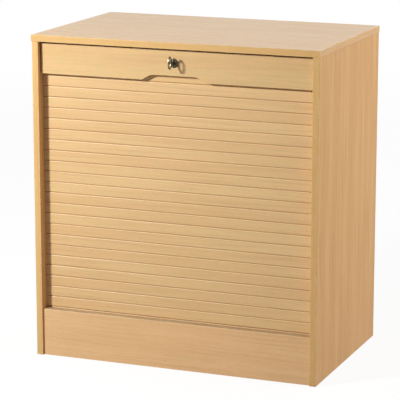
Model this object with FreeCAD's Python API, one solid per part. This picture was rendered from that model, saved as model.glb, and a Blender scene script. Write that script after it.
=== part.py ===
import FreeCAD, Part
import math
import os

# Tambour-front office cabinet, in millimetres.
# X runs across the front, -Y is the front, +Z is up.
# The origin is on the floor, at the middle of the overall box, key included.

# Carcass sizes
carcass_width = 720.0
carcass_depth = 460.0
cabinet_height = 790.0
board = 16.0
hardboard = 5.0
top_band = 1.5
thin_band = 1.0
band_round = 0.8
plinth_height = 116.0
plinth_setback = 5.5
edge_round = 1.0

# Back panels
back_inset = 10.0
back_floor_gap = 12.0
back_groove_depth = 7.0
back_groove_play = 0.15
back_end_play = 0.5
rear_run_gap = 8.0

# Deck, stretcher and shelf
deck_gap = 6.0
stretcher_height = 55.0
stretcher_back = 258.0
shelf_front_gap = 18.0
shelf_side_play = 1.5
shelf_back_play = 2.0
pin_radius = 2.5
pin_hole_depth = 10.0
pin_reach = 8.0
pin_flat = 1.6
pin_hole_pitch = 32.0
pin_holes_each_way = 2
pin_front_inset = 37.0
pin_rear_inset = 34.0

# Shutter slats
slat_count = 23
slat_thickness = 8.0
slat_gap = 0.5
slat_chamfer = 1.6
slat_back_chamfer = 1.5
bead_radius = 2.0
bead_height = 2.8
socket_lip = 3.2
socket_flare = 4.0

# Groove in the side panels that guides the slat ends
groove_depth = 7.0
groove_end_play = 1.0
groove_play = 0.3
bend_radius = 66.0
bend_ease = 4.0
base_run_height = 24.0
rear_run_top = 230.0
curtain_end_gap = 3.5

# Lead rail, the moving top rail that carries the lock
rail_setback = 12.0
rail_thickness = 13.0
rail_height = 73.0
rail_top_gap = 4.5
rail_side_gap = 2.0
carrier_drop = 5.0
grip_width = 162.0
grip_slope = 23.0
grip_depth = 13.0
grip_round = 36.0
rail_screw_inset = 32.0
rail_screw_count = 4
rail_screw_grip = 10.0

# Lock and key
lock_drop = 34.0
lock_body_radius = 9.0
lock_body_length = 27.0
rosette_radius = 11.2
rosette_thickness = 2.0
rosette_bevel = 0.8
plug_radius = 5.8
plug_proud = 0.4
lock_nut_flats = 24.0
lock_nut_thickness = 4.0
stub_size = 6.0
cam_thickness = 2.5
cam_width = 8.0
cam_hub_radius = 7.5
cam_top_gap = 6.0
cam_screw_head_radius = 4.6
cam_screw_head_height = 2.0
cam_screw_radius = 1.6
cam_screw_length = 8.0
keeper_plate = 2.0
keeper_offset = 17.0
keeper_bar = 5.0
keeper_foot = 20.0
keeper_window_play = 1.5
keeper_post = 3.5
key_thickness = 2.0
key_blade_height = 7.6
key_blade_length = 20.0
key_notch_depth = 1.5
key_notch_pitch = 4.0
key_notch_count = 4
key_shoulder_height = 10.6
key_shoulder_length = 3.5
key_neck_length = 14.0
key_neck_height = 6.0
key_bow_height = 31.0
key_bow_width = 20.0
key_bow_rim = 4.4
key_bow_rise = 3.5

# Fasteners; the small round pieces and drilled holes that repeat have flats
fit_gap = 0.3
round_flats = 10
wood_screw_radius = 1.75
wood_screw_head_radius = 3.6
wood_screw_head_height = 2.4
keeper_screw_length = 11.0
cam_lock_radius = 7.2
cam_lock_depth = 12.4
cam_lock_distance = 24.0
cam_lock_slot = 5.8
cam_lock_cross = 7.0
cam_lock_cross_width = 1.6
cam_lock_cross_depth = 2.0
bolt_radius = 2.5
bolt_grip = 11.0
bolt_hole_radius = 4.0
dowel_radius = 4.0
dowel_shallow = 11.0
dowel_deep = 19.0
dowel_slack = 0.5
dowel_spacing = 32.0
dowel_edge = 18.0
top_fix_inset = 80.0
deck_fix_inset = 70.0

# Planes that several pieces share
x_out = carcass_width / 2
x_in = x_out - board
key_length = key_neck_length + key_bow_width - key_bow_rim / 2
key_projection = rosette_thickness + plug_proud + key_length - rail_setback
y_back = (carcass_depth + key_projection) / 2
y_front = y_back - carcass_depth
z_under_top = cabinet_height - board
y_rail_front = y_front + rail_setback
y_slat_front = y_rail_front + rail_thickness
y_slat_mid = y_slat_front + slat_thickness / 2
y_slat_back = y_slat_front + slat_thickness
y_back_panel = y_back - back_inset - hardboard
y_rear_run = y_back_panel - rear_run_gap - slat_thickness / 2
y_inner_back = y_rear_run - slat_thickness / 2 - rear_run_gap - hardboard
y_plinth = y_front + plinth_setback
y_deck_front = y_slat_back + deck_gap
y_shelf_front = y_slat_back + shelf_front_gap
y_shelf_back = y_inner_back - shelf_back_play
z_deck = plinth_height - board
z_shelf = (plinth_height + z_under_top - board) / 2
z_rail_top = z_under_top - rail_top_gap
z_rail_bottom = z_rail_top - rail_height
z_carrier_bottom = z_rail_bottom - carrier_drop
z_bend_start = base_run_height + bend_radius
z_lock = z_under_top - lock_drop
slat_half_length = x_in + groove_depth - groove_end_play
slat_pitch = (z_carrier_bottom - z_bend_start - curtain_end_gap) / slat_count
slat_body = slat_pitch - slat_gap
socket_radius = bead_radius + fit_gap
x_side_middle = x_in + board / 2
y_pin_rows = (y_shelf_front + pin_front_inset, y_shelf_back - pin_rear_inset)
z_pin = z_shelf - pin_flat
y_top_fix = (y_front + top_fix_inset, y_inner_back - top_fix_inset + dowel_spacing)
y_deck_fix = (y_deck_front + deck_fix_inset, y_inner_back - deck_fix_inset)
y_stretcher = y_front + stretcher_back
y_lock_nut = y_slat_back
y_housing_end = y_rail_front + lock_body_length
y_rosette = y_rail_front - rosette_thickness
y_plug_front = y_rosette - plug_proud
y_cam = y_housing_end + fit_gap
y_cam_back = y_cam + cam_thickness
cam_reach = lock_drop - keeper_plate - cam_top_gap
keyway_width = key_thickness + 2 * fit_gap
keyway_height = key_blade_height + 2 * fit_gap


def vec(x, y, z):
    """A point or a direction."""
    return FreeCAD.Vector(x, y, z)


def block(x0, x1, y0, y1, z0, z1):
    """A straight block between two opposite corners."""
    return Part.makeBox(x1 - x0, y1 - y0, z1 - z0, vec(x0, y0, z0))


def rod(start, direction, radius, length):
    """A round rod that starts at a point and runs along a direction."""
    return Part.makeCylinder(radius, length, start, direction)


def ring(centre, direction, radius):
    """A many-sided outline round a point, square to a direction."""
    up = vec(0, 0, 1) if abs(direction.z) < 0.5 else vec(1, 0, 0)
    across = direction.cross(up)
    corners = []
    for step in range(round_flats + 1):
        angle = 2 * math.pi * (step % round_flats) / round_flats
        corners.append(centre + up * (radius * math.cos(angle)) + across * (radius * math.sin(angle)))
    return Part.makePolygon(corners)


def peg(start, direction, radius, length):
    """A small round rod that repeats, its round made of flats."""
    return Part.Face(ring(start, direction, radius)).extrude(direction * length)


def taper(start, direction, radius, end_radius, length):
    """A small cone that repeats, its round made of flats."""
    near = ring(start, direction, radius)
    far = ring(start + direction * length, direction, end_radius)
    faces = [Part.Face(near), Part.Face(far)]
    for a, b in zip(near.OrderedEdges, far.OrderedEdges):
        low, high = [v.Point for v in a.Vertexes], [v.Point for v in b.Vertexes]
        faces.append(Part.Face(Part.makePolygon([low[0], low[1], high[1], high[0], low[0]])))
    return Part.Solid(Part.Shell(faces))


def fused(shapes):
    """Several overlapping shapes as one."""
    return shapes[0].multiFuse(shapes[1:]).removeSplitter()


def extrude_x(wire, x0, x1):
    """A closed outline in a YZ plane, drawn at x = 0, made solid from x0 to x1."""
    face = Part.Face(wire)
    face.translate(vec(x0, 0, 0))
    return face.extrude(vec(x1 - x0, 0, 0))


def line(a, b):
    """A straight edge."""
    return Part.LineSegment(a, b).toShape()


def arc(a, middle, b):
    """A round edge through three points."""
    return Part.Arc(a, middle, b).toShape()


def rounded(solid, radius, chosen):
    """Round the edges of a solid that a test picks out."""
    edges = [e for e in solid.Edges if chosen(e.BoundBox)]
    return solid.makeFillet(radius, edges)


def on(value, low, high):
    """Whether an edge that spans low to high lies wholly at one value."""
    return abs(low - value) < 1e-6 and abs(high - value) < 1e-6


def mirrored(shape):
    """The left-hand twin of a right-hand shape."""
    return shape.mirror(vec(0, 0, 0), vec(1, 0, 0))


def save(name, *solids):
    """Write one piece, or a group of separate like pieces, to its own file."""
    shape = solids[0] if len(solids) == 1 else Part.makeCompound(list(solids))
    shape.exportStep(os.path.join("parts", name + ".step"))


# Fasteners


def turned(shape, origin, x_axis, z_axis):
    """Move a shape from its own axes to an origin with the given X and Z directions."""
    y_axis = z_axis.cross(x_axis)
    matrix = FreeCAD.Matrix(
        x_axis.x, y_axis.x, z_axis.x, origin.x,
        x_axis.y, y_axis.y, z_axis.y, origin.y,
        x_axis.z, y_axis.z, z_axis.z, origin.z,
        0, 0, 0, 1,
    )
    moved = shape.copy()
    moved.transformShape(matrix)
    return moved


def cam_lock():
    """A cam connector: Z goes into its board from the open face, X along its bolt."""
    body = peg(vec(0, 0, 0), vec(0, 0, 1), cam_lock_radius, cam_lock_depth)
    slot = block(
        0, 2 * cam_lock_radius,
        -cam_lock_slot / 2, cam_lock_slot / 2,
        board / 2 - cam_lock_slot / 2, cam_lock_depth,
    )
    half = cam_lock_cross / 2
    thin = cam_lock_cross_width / 2
    cross = block(-half, half, -thin, thin, 0, cam_lock_cross_depth).fuse(
        block(-thin, thin, -half, half, 0, cam_lock_cross_depth)
    )
    return body.cut(slot).cut(cross)


def cam_bolt():
    """The bolt that the cam pulls on, out to its threaded end in the other board."""
    return peg(vec(fit_gap, 0, board / 2), vec(1, 0, 0), bolt_radius, cam_lock_distance + bolt_grip - fit_gap)


def cam_holes():
    """The cam's pocket and its bolt's way through the same board."""
    pocket = peg(vec(0, 0, 0), vec(0, 0, 1), cam_lock_radius + fit_gap, cam_lock_depth)
    way = peg(vec(0, 0, board / 2), vec(1, 0, 0), bolt_hole_radius, cam_lock_distance)
    return pocket.fuse(way)


def bolt_hole():
    """The hole for the bolt's threaded end in the other board."""
    return peg(vec(cam_lock_distance, 0, board / 2), vec(1, 0, 0), bolt_radius + fit_gap, bolt_grip)


def connector_seats():
    """Origin, bolt direction and inward direction of each cam connector, right side first."""
    z_cam = z_under_top - cam_lock_distance
    x_cam = x_in - cam_lock_distance
    seats_top = []
    seats_deck = []
    for side in (1, -1):
        for y in y_top_fix:
            seats_top.append((vec(side * x_in, y, z_cam), vec(0, 0, 1), vec(side, 0, 0)))
        for y in y_deck_fix:
            seats_deck.append((vec(side * x_cam, y, z_deck), vec(side, 0, 0), vec(0, 0, 1)))
    return seats_top, seats_deck


def dowel_seats():
    """Point on the joint face and direction into the deep hole, for each group of dowels."""
    top, deck, plinth, stretcher = [], [], [], []
    for side in (1, -1):
        inward = vec(-side, 0, 0)
        for y, step in zip(y_top_fix, (dowel_spacing, -dowel_spacing)):
            top.append((vec(side * x_side_middle, y + step, z_under_top), vec(0, 0, -1)))
        for y, step in zip(y_deck_fix, (dowel_spacing, -dowel_spacing)):
            deck.append((vec(side * x_in, y + step, z_deck + board / 2), inward))
        for z in (dowel_edge, plinth_height - dowel_edge):
            plinth.append((vec(side * x_in, y_plinth + board / 2, z), inward))
        for z in (z_deck - stretcher_height + dowel_edge, z_deck - dowel_edge):
            stretcher.append((vec(side * x_in, y_stretcher + board / 2, z), inward))
    return top, deck, plinth, stretcher


def dowel(seat):
    """A dowel across a joint, a little shorter than its two holes."""
    point, inward = seat
    length = dowel_shallow + dowel_deep - dowel_slack
    return peg(point - inward * dowel_shallow, inward, dowel_radius, length)


def shallow_hole(seat):
    """The dowel's hole in the board that is drilled less deep."""
    point, inward = seat
    return peg(point - inward * dowel_shallow, inward, dowel_radius + fit_gap, dowel_shallow)


def deep_hole(seat):
    """The dowel's hole in the end of the other board."""
    point, inward = seat
    return peg(point, inward, dowel_radius + fit_gap, dowel_deep)


def wood_screw(head, inward, length):
    """A countersunk screw, head face at a point, with a plain shank."""
    cone = taper(head, inward, wood_screw_head_radius, wood_screw_radius, wood_screw_head_height)
    return fused([cone, peg(head, inward, wood_screw_radius, length)])


def screw_hole(head, inward, length):
    """A countersunk hole that clears the screw by the fit gap and meets its tip."""
    head_radius = wood_screw_head_radius + fit_gap
    radius = wood_screw_radius + fit_gap
    cone = taper(head, inward, head_radius, radius, wood_screw_head_height)
    return fused([cone, peg(head, inward, radius, length)])


SEATS_TOP, SEATS_DECK = connector_seats()
DOWELS_TOP, DOWELS_DECK, DOWELS_PLINTH, DOWELS_STRETCHER = dowel_seats()


def build_fasteners():
    """The joints' cams, bolts and dowels, each kind a group of like pieces."""
    save("cam_connectors", *[turned(cam_lock(), *seat) for seat in SEATS_TOP + SEATS_DECK])
    save("cam_bolts", *[turned(cam_bolt(), *seat) for seat in SEATS_TOP + SEATS_DECK])
    every = DOWELS_TOP + DOWELS_DECK + DOWELS_PLINTH + DOWELS_STRETCHER
    save("dowels", *[dowel(seat) for seat in every])


# Carcass


def slat_track():
    """The groove for the slat ends: down the front, round under the deck and up the back."""
    half = slat_thickness / 2 + groove_play
    front_out, front_in = y_slat_mid - half, y_slat_mid + half
    rear_out, rear_in = y_rear_run + half, y_rear_run - half
    base_out, base_in = base_run_height - half, base_run_height + half
    outer = bend_radius + half
    inner = bend_radius - half + bend_ease
    slant = math.sqrt(0.5)

    def corner(y, z, radius, toward_y):
        """A quarter turn tangent to the wall at y and the floor at z, as three points."""
        middle = vec(0, y + toward_y * radius * (1 - slant), z + radius * (1 - slant))
        return vec(0, y, z + radius), middle, vec(0, y + toward_y * radius, z)

    front_outer = corner(front_out, base_out, outer, 1)
    rear_outer = corner(rear_out, base_out, outer, -1)
    front_inner = corner(front_in, base_in, inner, 1)
    rear_inner = corner(rear_in, base_in, inner, -1)
    z_end = rear_run_top - half
    rear_end = (vec(0, rear_out, z_end), vec(0, y_rear_run, rear_run_top), vec(0, rear_in, z_end))
    top_out, top_in = vec(0, front_out, z_under_top), vec(0, front_in, z_under_top)
    return Part.Wire([
        line(top_out, front_outer[0]),
        arc(*front_outer),
        line(front_outer[2], rear_outer[2]),
        arc(*reversed(rear_outer)),
        line(rear_outer[0], rear_end[0]),
        arc(*rear_end),
        line(rear_end[2], rear_inner[0]),
        arc(*rear_inner),
        line(rear_inner[2], front_inner[2]),
        arc(*reversed(front_inner)),
        line(front_inner[0], top_in),
        line(top_in, top_out),
    ])


def back_slot(y, z0, x1):
    """The slot that holds a back panel's edge, from a height up to the top board's underside."""
    return block(
        x_in, x1, y - back_groove_play, y + hardboard + back_groove_play, z0, z_under_top
    )


def build_sides():
    """Both side panels: slat groove, back slots, shelf-pin rows and joint holes."""
    x_slot = x_in + back_groove_depth
    panel = block(x_in, x_out, y_front + thin_band, y_back, 0, z_under_top)
    cuts = [
        extrude_x(slat_track(), x_in, x_in + groove_depth),
        back_slot(y_back_panel, 0, x_slot),
        back_slot(y_inner_back, z_deck, x_slot),
    ]
    for y in y_pin_rows:
        for step in range(-pin_holes_each_way, pin_holes_each_way + 1):
            start = vec(x_in, y, z_pin + step * pin_hole_pitch)
            cuts.append(peg(start, vec(1, 0, 0), pin_radius + fit_gap, pin_hole_depth))
    right_side = [s for s in SEATS_TOP if s[0].x > 0]
    cuts += [turned(cam_holes(), *seat) for seat in right_side]
    cuts += [turned(bolt_hole(), *seat) for seat in SEATS_DECK if seat[0].x > 0]
    cuts += [deep_hole(seat) for seat in DOWELS_TOP if seat[0].x > 0]
    into_side = DOWELS_DECK + DOWELS_PLINTH + DOWELS_STRETCHER
    cuts += [shallow_hole(seat) for seat in into_side if seat[0].x > 0]
    panel = panel.cut(cuts)
    band = block(x_in, x_out, y_front, y_front + thin_band, 0, z_under_top)
    band = rounded(band, band_round, lambda b: on(y_front, b.YMin, b.YMax) and b.ZLength > board)
    save("right_side_panel", panel)
    save("left_side_panel", mirrored(panel))
    save("right_side_edge_band", band)
    save("left_side_edge_band", mirrored(band))


def build_top():
    """The top board over the sides, and the edge bands that make it stand proud of them."""
    panel = block(-x_out, x_out, y_front, y_back, z_under_top, cabinet_height)
    x_slot = x_in + back_groove_depth
    cuts = []
    for y in (y_back_panel, y_inner_back):
        cuts.append(block(
            -x_slot, x_slot,
            y - back_groove_play, y + hardboard + back_groove_play,
            z_under_top, z_under_top + back_groove_depth,
        ))
    cuts += [turned(bolt_hole(), *seat) for seat in SEATS_TOP]
    cuts += [shallow_hole(seat) for seat in DOWELS_TOP]
    cuts += [screw_hole(*screw) for screw in keeper_screws()]
    save("top_panel", panel.cut(cuts))

    x_band = x_out + top_band
    y_band = y_front - top_band
    front = block(-x_band, x_band, y_band, y_front, z_under_top, cabinet_height)
    front = rounded(front, edge_round, lambda b: on(y_band, b.YMin, b.YMax) and b.XLength > board)
    side = block(x_out, x_band, y_front, y_back, z_under_top, cabinet_height)
    side = rounded(side, edge_round, lambda b: on(x_band, b.XMin, b.XMax) and b.YLength > board)
    save("top_edge_bands", front, side, mirrored(side))


def banded_board(name, half_width, y0, y1, z0, cuts):
    """A board with a thin band on its front edge, saved as two pieces."""
    panel = block(-half_width, half_width, y0 + thin_band, y1, z0, z0 + board)
    band = block(-half_width, half_width, y0, y0 + thin_band, z0, z0 + board)
    band = rounded(band, band_round, lambda b: on(y0, b.YMin, b.YMax) and b.XLength > board)
    save(name, panel.cut(cuts) if cuts else panel)
    save(name + "_edge_band", band)


def build_inside():
    """Deck, shelf on its pins, stretcher, plinth and the two back panels."""
    deck_cuts = [turned(cam_holes(), *seat) for seat in SEATS_DECK]
    deck_cuts += [deep_hole(seat) for seat in DOWELS_DECK]
    banded_board("deck_panel", x_in, y_deck_front, y_inner_back, z_deck, deck_cuts)
    banded_board("shelf", x_in - shelf_side_play, y_shelf_front, y_shelf_back, z_shelf, [])

    pins = []
    for side in (1, -1):
        for y in y_pin_rows:
            start = vec(side * (x_in + pin_hole_depth), y, z_pin)
            shank = peg(start, vec(-side, 0, 0), pin_radius, pin_hole_depth + pin_reach)
            x0, x1 = sorted((side * x_in, side * (x_in - pin_reach)))
            flat = block(x0, x1, y - pin_radius, y + pin_radius, z_shelf, z_pin + pin_radius)
            pins.append(shank.cut(flat))
    save("shelf_pins", *pins)

    z_low = z_deck - stretcher_height
    stretcher = block(-x_in, x_in, y_stretcher, y_stretcher + board, z_low, z_deck)
    save("base_stretcher", stretcher.cut([deep_hole(seat) for seat in DOWELS_STRETCHER]))

    plinth = block(-x_in, x_in, y_plinth, y_plinth + board, 0, plinth_height)
    plinth = plinth.cut([deep_hole(seat) for seat in DOWELS_PLINTH])
    plinth = rounded(
        plinth, edge_round,
        lambda b: on(y_plinth, b.YMin, b.YMax) and on(plinth_height, b.ZMin, b.ZMax),
    )
    save("plinth", plinth)

    x_edge = x_in + back_groove_depth - back_end_play
    z_edge = z_under_top + back_groove_depth - back_end_play
    outer = block(-x_edge, x_edge, y_back_panel, y_back_panel + hardboard, back_floor_gap, z_edge)
    inner = block(-x_edge, x_edge, y_inner_back, y_inner_back + hardboard, z_deck, z_edge)
    save("back_panel", outer)
    save("inner_back_panel", inner)


# Shutter


def slat_outline(height, beaded):
    """Section of a slat, front face at y = 0: six-sided socket below, bead above, edges bevelled."""
    t, c, b = slat_thickness, slat_chamfer, slat_back_chamfer
    mid = t / 2
    lip = socket_lip / 2
    z_lip = bead_height - (socket_radius - lip) * math.sqrt(3)
    socket = [
        (socket_flare / 2, 0),
        (lip, z_lip),
        (socket_radius, bead_height),
        (socket_radius / 2, bead_height + socket_radius * math.sqrt(0.75)),
    ]
    points = [(0, c), (c, 0)]
    points += [(mid - y, z) for y, z in socket]
    points += [(mid + y, z) for y, z in reversed(socket)]
    points += [(t - b, 0), (t, b), (t, height - b), (t - b, height)]
    if beaded:
        z_bead = slat_pitch + bead_height
        rise = bead_radius * math.sqrt(0.75)
        neck = bead_radius / 2
        bead = [(neck, height), (neck, z_bead - rise), (bead_radius, z_bead), (neck, z_bead + rise)]
        points += [(mid + y, z) for y, z in bead]
        points += [(mid - y, z) for y, z in reversed(bead)]
    points += [(c, height), (0, height - c), (0, c)]
    return Part.makePolygon([vec(0, y, z) for y, z in points])


def build_slats():
    """The linked slats of the curtain, numbered from the lead rail downwards."""
    slat = extrude_x(slat_outline(slat_body, True), -slat_half_length, slat_half_length)
    for number in range(1, slat_count + 1):
        one = slat.copy()
        one.translate(vec(0, y_slat_front, z_carrier_bottom - number * slat_pitch))
        save("slat_%02d" % number, one)


def rail_screws():
    """Head point, direction and length of each screw that holds the carrier to the rail."""
    span = 2 * (x_in - rail_side_gap - rail_screw_inset)
    z = (z_rail_top + z_rail_bottom) / 2
    seats = []
    for number in range(rail_screw_count):
        x = -span / 2 + number * span / (rail_screw_count - 1)
        seats.append((vec(x, y_slat_back, z), vec(0, -1, 0), slat_thickness + rail_screw_grip))
    return seats


def grip_cutout():
    """The shallow finger grip in the rail's lower edge, with sloped ends and rounded upper corners."""
    low = grip_width / 2
    high = low - grip_slope
    corners = [
        vec(-low, 0, z_rail_bottom),
        vec(low, 0, z_rail_bottom),
        vec(high, 0, z_rail_bottom + grip_depth),
        vec(-high, 0, z_rail_bottom + grip_depth),
    ]
    wire = Part.makePolygon(corners + corners[:1])
    tool = Part.Face(wire).extrude(vec(0, rail_thickness, 0))
    tool.translate(vec(0, y_rail_front, 0))
    upper = [
        e for e in tool.Edges
        if e.BoundBox.YLength > rail_thickness / 2 and e.BoundBox.ZMin > z_rail_bottom + grip_depth / 2
    ]
    return tool.makeFillet(grip_round, upper)


def build_lead_rail():
    """The lead rail, the carrier board that runs in the groove behind it, and their screws."""
    half = x_in - rail_side_gap
    bore = rod(
        vec(0, y_rail_front, z_lock), vec(0, 1, 0),
        lock_body_radius + fit_gap, rail_thickness + slat_thickness,
    )
    rail = block(-half, half, y_rail_front, y_slat_front, z_rail_bottom, z_rail_top)
    rail = rail.cut(grip_cutout())
    rail = rounded(rail, edge_round, lambda b: on(y_rail_front, b.YMin, b.YMax))
    holes = [screw_hole(*screw) for screw in rail_screws()]
    save("lead_rail", rail.cut([bore] + holes))

    carrier = extrude_x(
        slat_outline(z_rail_top - z_carrier_bottom, False), -slat_half_length, slat_half_length
    )
    carrier.translate(vec(0, y_slat_front, z_carrier_bottom))
    save("carrier_board", carrier.cut([bore] + holes))
    save("rail_screws", *[wood_screw(*screw) for screw in rail_screws()])


# Lock


def build_lock_housing():
    """Rosette and barrel turned in one piece, and the nut that clamps it behind the carrier."""
    axis = vec(0, 1, 0)
    barrel = rod(vec(0, y_rail_front, z_lock), axis, lock_body_radius, lock_body_length)
    rosette = rod(vec(0, y_rosette, z_lock), axis, rosette_radius, rosette_thickness)
    rim = [e for e in rosette.Edges if on(y_rosette, e.BoundBox.YMin, e.BoundBox.YMax)]
    rosette = rosette.makeChamfer(rosette_bevel, rim)
    bore = rod(
        vec(0, y_rosette, z_lock), axis, plug_radius + fit_gap, rosette_thickness + lock_body_length
    )
    save("lock_housing", fused([barrel, rosette]).cut(bore))

    corner = lock_nut_flats / math.sqrt(3)
    points = []
    for step in range(7):
        angle = math.radians(60 * step + 90)
        points.append(vec(corner * math.cos(angle), y_lock_nut, z_lock + corner * math.sin(angle)))
    nut = Part.Face(Part.makePolygon(points)).extrude(vec(0, lock_nut_thickness, 0))
    hole = rod(
        vec(0, y_lock_nut, z_lock), axis, lock_body_radius + fit_gap, lock_nut_thickness
    )
    save("lock_nut", nut.cut(hole))


def build_lock_plug():
    """The plug with its keyway, the cam on its square end and the screw that holds the cam."""
    axis = vec(0, 1, 0)
    plug = rod(vec(0, y_plug_front, z_lock), axis, plug_radius, y_cam - y_plug_front)
    half = stub_size / 2
    stub = block(-half, half, y_cam, y_cam_back, z_lock - half, z_lock + half)
    keyway = block(
        -keyway_width / 2, keyway_width / 2,
        y_plug_front, y_plug_front + key_blade_length + fit_gap,
        z_lock - keyway_height / 2, z_lock + keyway_height / 2,
    )
    y_tip = y_cam_back - cam_screw_length
    hole = rod(vec(0, y_tip, z_lock), axis, cam_screw_radius + fit_gap, cam_screw_length)
    save("lock_plug", fused([plug, stub]).cut([keyway, hole]))

    hub = rod(vec(0, y_cam, z_lock), axis, cam_hub_radius, cam_thickness)
    tip_radius = cam_width / 2
    z_tip = z_lock + cam_reach - tip_radius
    arm = block(-tip_radius, tip_radius, y_cam, y_cam_back, z_lock, z_tip)
    tip = rod(vec(0, y_cam, z_tip), axis, tip_radius, cam_thickness)
    square = half + fit_gap / 2
    seat = block(-square, square, y_cam, y_cam_back, z_lock - square, z_lock + square)
    save("lock_cam", fused([hub, arm, tip]).cut(seat))

    head = rod(vec(0, y_cam_back, z_lock), axis, cam_screw_head_radius, cam_screw_head_height)
    shank = rod(vec(0, y_tip, z_lock), axis, cam_screw_radius, cam_screw_length)
    save("cam_screw", fused([head, shank]))


def keeper_screws():
    """Head point, direction and length of the two screws in the keeper's foot."""
    y = (y_cam + y_cam_back) / 2
    z = z_under_top - keeper_plate
    length = keeper_plate + keeper_screw_length
    first = keeper_offset + keeper_plate + wood_screw_head_radius + fit_gap
    last = keeper_offset + keeper_foot - wood_screw_head_radius - fit_gap
    return [(vec(x, y, z), vec(0, 0, 1), length) for x in (first, last)]


def build_keeper():
    """The angle plate under the top board whose window takes the cam when the lock is shut."""
    y0 = y_cam - keeper_window_play - keeper_post
    y1 = y_cam_back + keeper_window_play + keeper_post
    x1 = keeper_offset + keeper_plate
    z_sill = z_lock - cam_width / 2 - keeper_window_play / 2
    z_head = z_lock + cam_reach
    leg = block(keeper_offset, x1, y0, y1, z_sill - keeper_bar, z_under_top)
    foot = block(keeper_offset, keeper_offset + keeper_foot, y0, y1, z_under_top - keeper_plate, z_under_top)
    window = block(keeper_offset, x1, y0 + keeper_post, y1 - keeper_post, z_sill, z_head)
    plate = fused([leg, foot]).cut([window] + [screw_hole(*screw) for screw in keeper_screws()])
    save("lock_keeper", plate)
    save("keeper_screws", *[wood_screw(*screw) for screw in keeper_screws()])


def oval(y, width, height):
    """An upright oval in the YZ plane, a little above the lock's axis."""
    curve = Part.Ellipse(vec(0, 0, 0), height / 2, width / 2)
    wire = Part.Wire(curve.toShape())
    wire = turned(wire, vec(0, y, z_lock + key_bow_rise), vec(0, 0, 1), vec(1, 0, 0))
    return wire


def build_key():
    """A flat key: notched blade, shoulder on the plug's face, neck and open oval bow."""
    t = key_thickness / 2
    y_neck = y_plug_front - key_neck_length
    y_bow = y_neck - key_bow_width / 2 + key_bow_rim / 2
    half = key_blade_height / 2
    blade = block(-t, t, y_plug_front, y_plug_front + key_blade_length, z_lock - half, z_lock + half)
    notches = []
    for number in range(key_notch_count):
        y = y_plug_front + key_blade_length - (number + 1) * key_notch_pitch
        low = z_lock - half
        corners = [
            vec(-t, y - key_notch_depth, low),
            vec(-t, y + key_notch_depth, low),
            vec(-t, y, low + key_notch_depth),
        ]
        notch = Part.Face(Part.makePolygon(corners + corners[:1]))
        notches.append(notch.extrude(vec(key_thickness, 0, 0)))
    shoulder_half = key_shoulder_height / 2
    shoulder = block(
        -t, t, y_plug_front - key_shoulder_length, y_plug_front,
        z_lock - shoulder_half, z_lock + shoulder_half,
    )
    neck_half = key_neck_height / 2
    neck = block(-t, t, y_neck, y_plug_front, z_lock - neck_half, z_lock + neck_half)
    disc = extrude_x(oval(y_bow, key_bow_width, key_bow_height), -t, t)
    eye = extrude_x(
        oval(y_bow, key_bow_width - 2 * key_bow_rim, key_bow_height - 2 * key_bow_rim), -t, t
    )
    key = fused([blade.cut(notches), shoulder, neck, disc]).cut(eye)
    save("key", key)


def main():
    """Build every piece, and print how the curtain fits its track."""
    os.makedirs("parts", exist_ok=True)
    build_fasteners()
    build_sides()
    build_top()
    build_inside()
    build_slats()
    build_lead_rail()
    build_lock_housing()
    build_lock_plug()
    build_keeper()
    build_key()
    travel = z_rail_bottom - plinth_height
    stored = slat_count * slat_pitch
    run = math.pi * bend_radius + (y_rear_run - y_slat_mid - 2 * bend_radius)
    run += z_carrier_bottom - travel - z_bend_start + rear_run_top - z_bend_start
    print("rail travel to the plinth %.1f, curtain %.1f, track for it %.1f" % (travel, stored, run))


main()
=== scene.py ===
import logging
import math
from dataclasses import dataclass, replace
from enum import Enum
from functools import reduce
from typing import Callable, Iterable, Mapping, Optional, Sequence, Union

import bmesh
import bpy
from mathutils import Matrix, Vector


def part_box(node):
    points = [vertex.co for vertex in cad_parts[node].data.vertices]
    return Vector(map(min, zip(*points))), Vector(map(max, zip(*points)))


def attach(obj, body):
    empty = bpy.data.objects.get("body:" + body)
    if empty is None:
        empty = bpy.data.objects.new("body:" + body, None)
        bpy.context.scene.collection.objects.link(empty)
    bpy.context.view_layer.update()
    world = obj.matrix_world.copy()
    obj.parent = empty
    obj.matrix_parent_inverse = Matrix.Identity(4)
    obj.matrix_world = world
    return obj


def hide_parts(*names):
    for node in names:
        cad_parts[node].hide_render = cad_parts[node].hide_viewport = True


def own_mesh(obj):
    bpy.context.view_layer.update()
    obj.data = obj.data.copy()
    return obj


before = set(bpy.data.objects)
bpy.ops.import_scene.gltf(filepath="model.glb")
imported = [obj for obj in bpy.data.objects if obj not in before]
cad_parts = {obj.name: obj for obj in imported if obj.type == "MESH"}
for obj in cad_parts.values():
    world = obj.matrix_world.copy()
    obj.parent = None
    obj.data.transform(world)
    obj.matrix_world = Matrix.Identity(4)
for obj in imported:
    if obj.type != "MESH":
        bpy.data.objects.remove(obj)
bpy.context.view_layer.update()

MM = 0.001
CRISP_ANGLE = 32.0
SAME_SPOT = 1e-7
SAME_CAD_SPOT = 1e-6
ON_AXIS = 1e-9
CREST = (0.45, 0.55)
QUARTER = range(0, 91, 15)
RIGHT, BACK, UP = (Vector(row) for row in Matrix.Identity(3))
Colour = tuple[float, float, float]
Spot = tuple[float, float, float]
Point = tuple[float, float]
Box = tuple[Vector, Vector]
Socket = bpy.types.NodeSocket
Node = bpy.types.Node
Piece = bpy.types.Object
Paint = bpy.types.Material
Shape = bmesh.types.BMesh
Ring = Sequence[bmesh.types.BMVert]
Feed = Union[float, str, Colour, Socket]
Aim = Callable[[Vector, Vector], tuple[Vector, Vector]]
log = logging.getLogger("cabinet")


class GrainRun(Enum):
    """Which way the printed grain runs on a piece."""

    SIDEWAYS = "along X"
    UPRIGHT = "along Z"
    ROUND_THE_TOP = "along X and Y"


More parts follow.
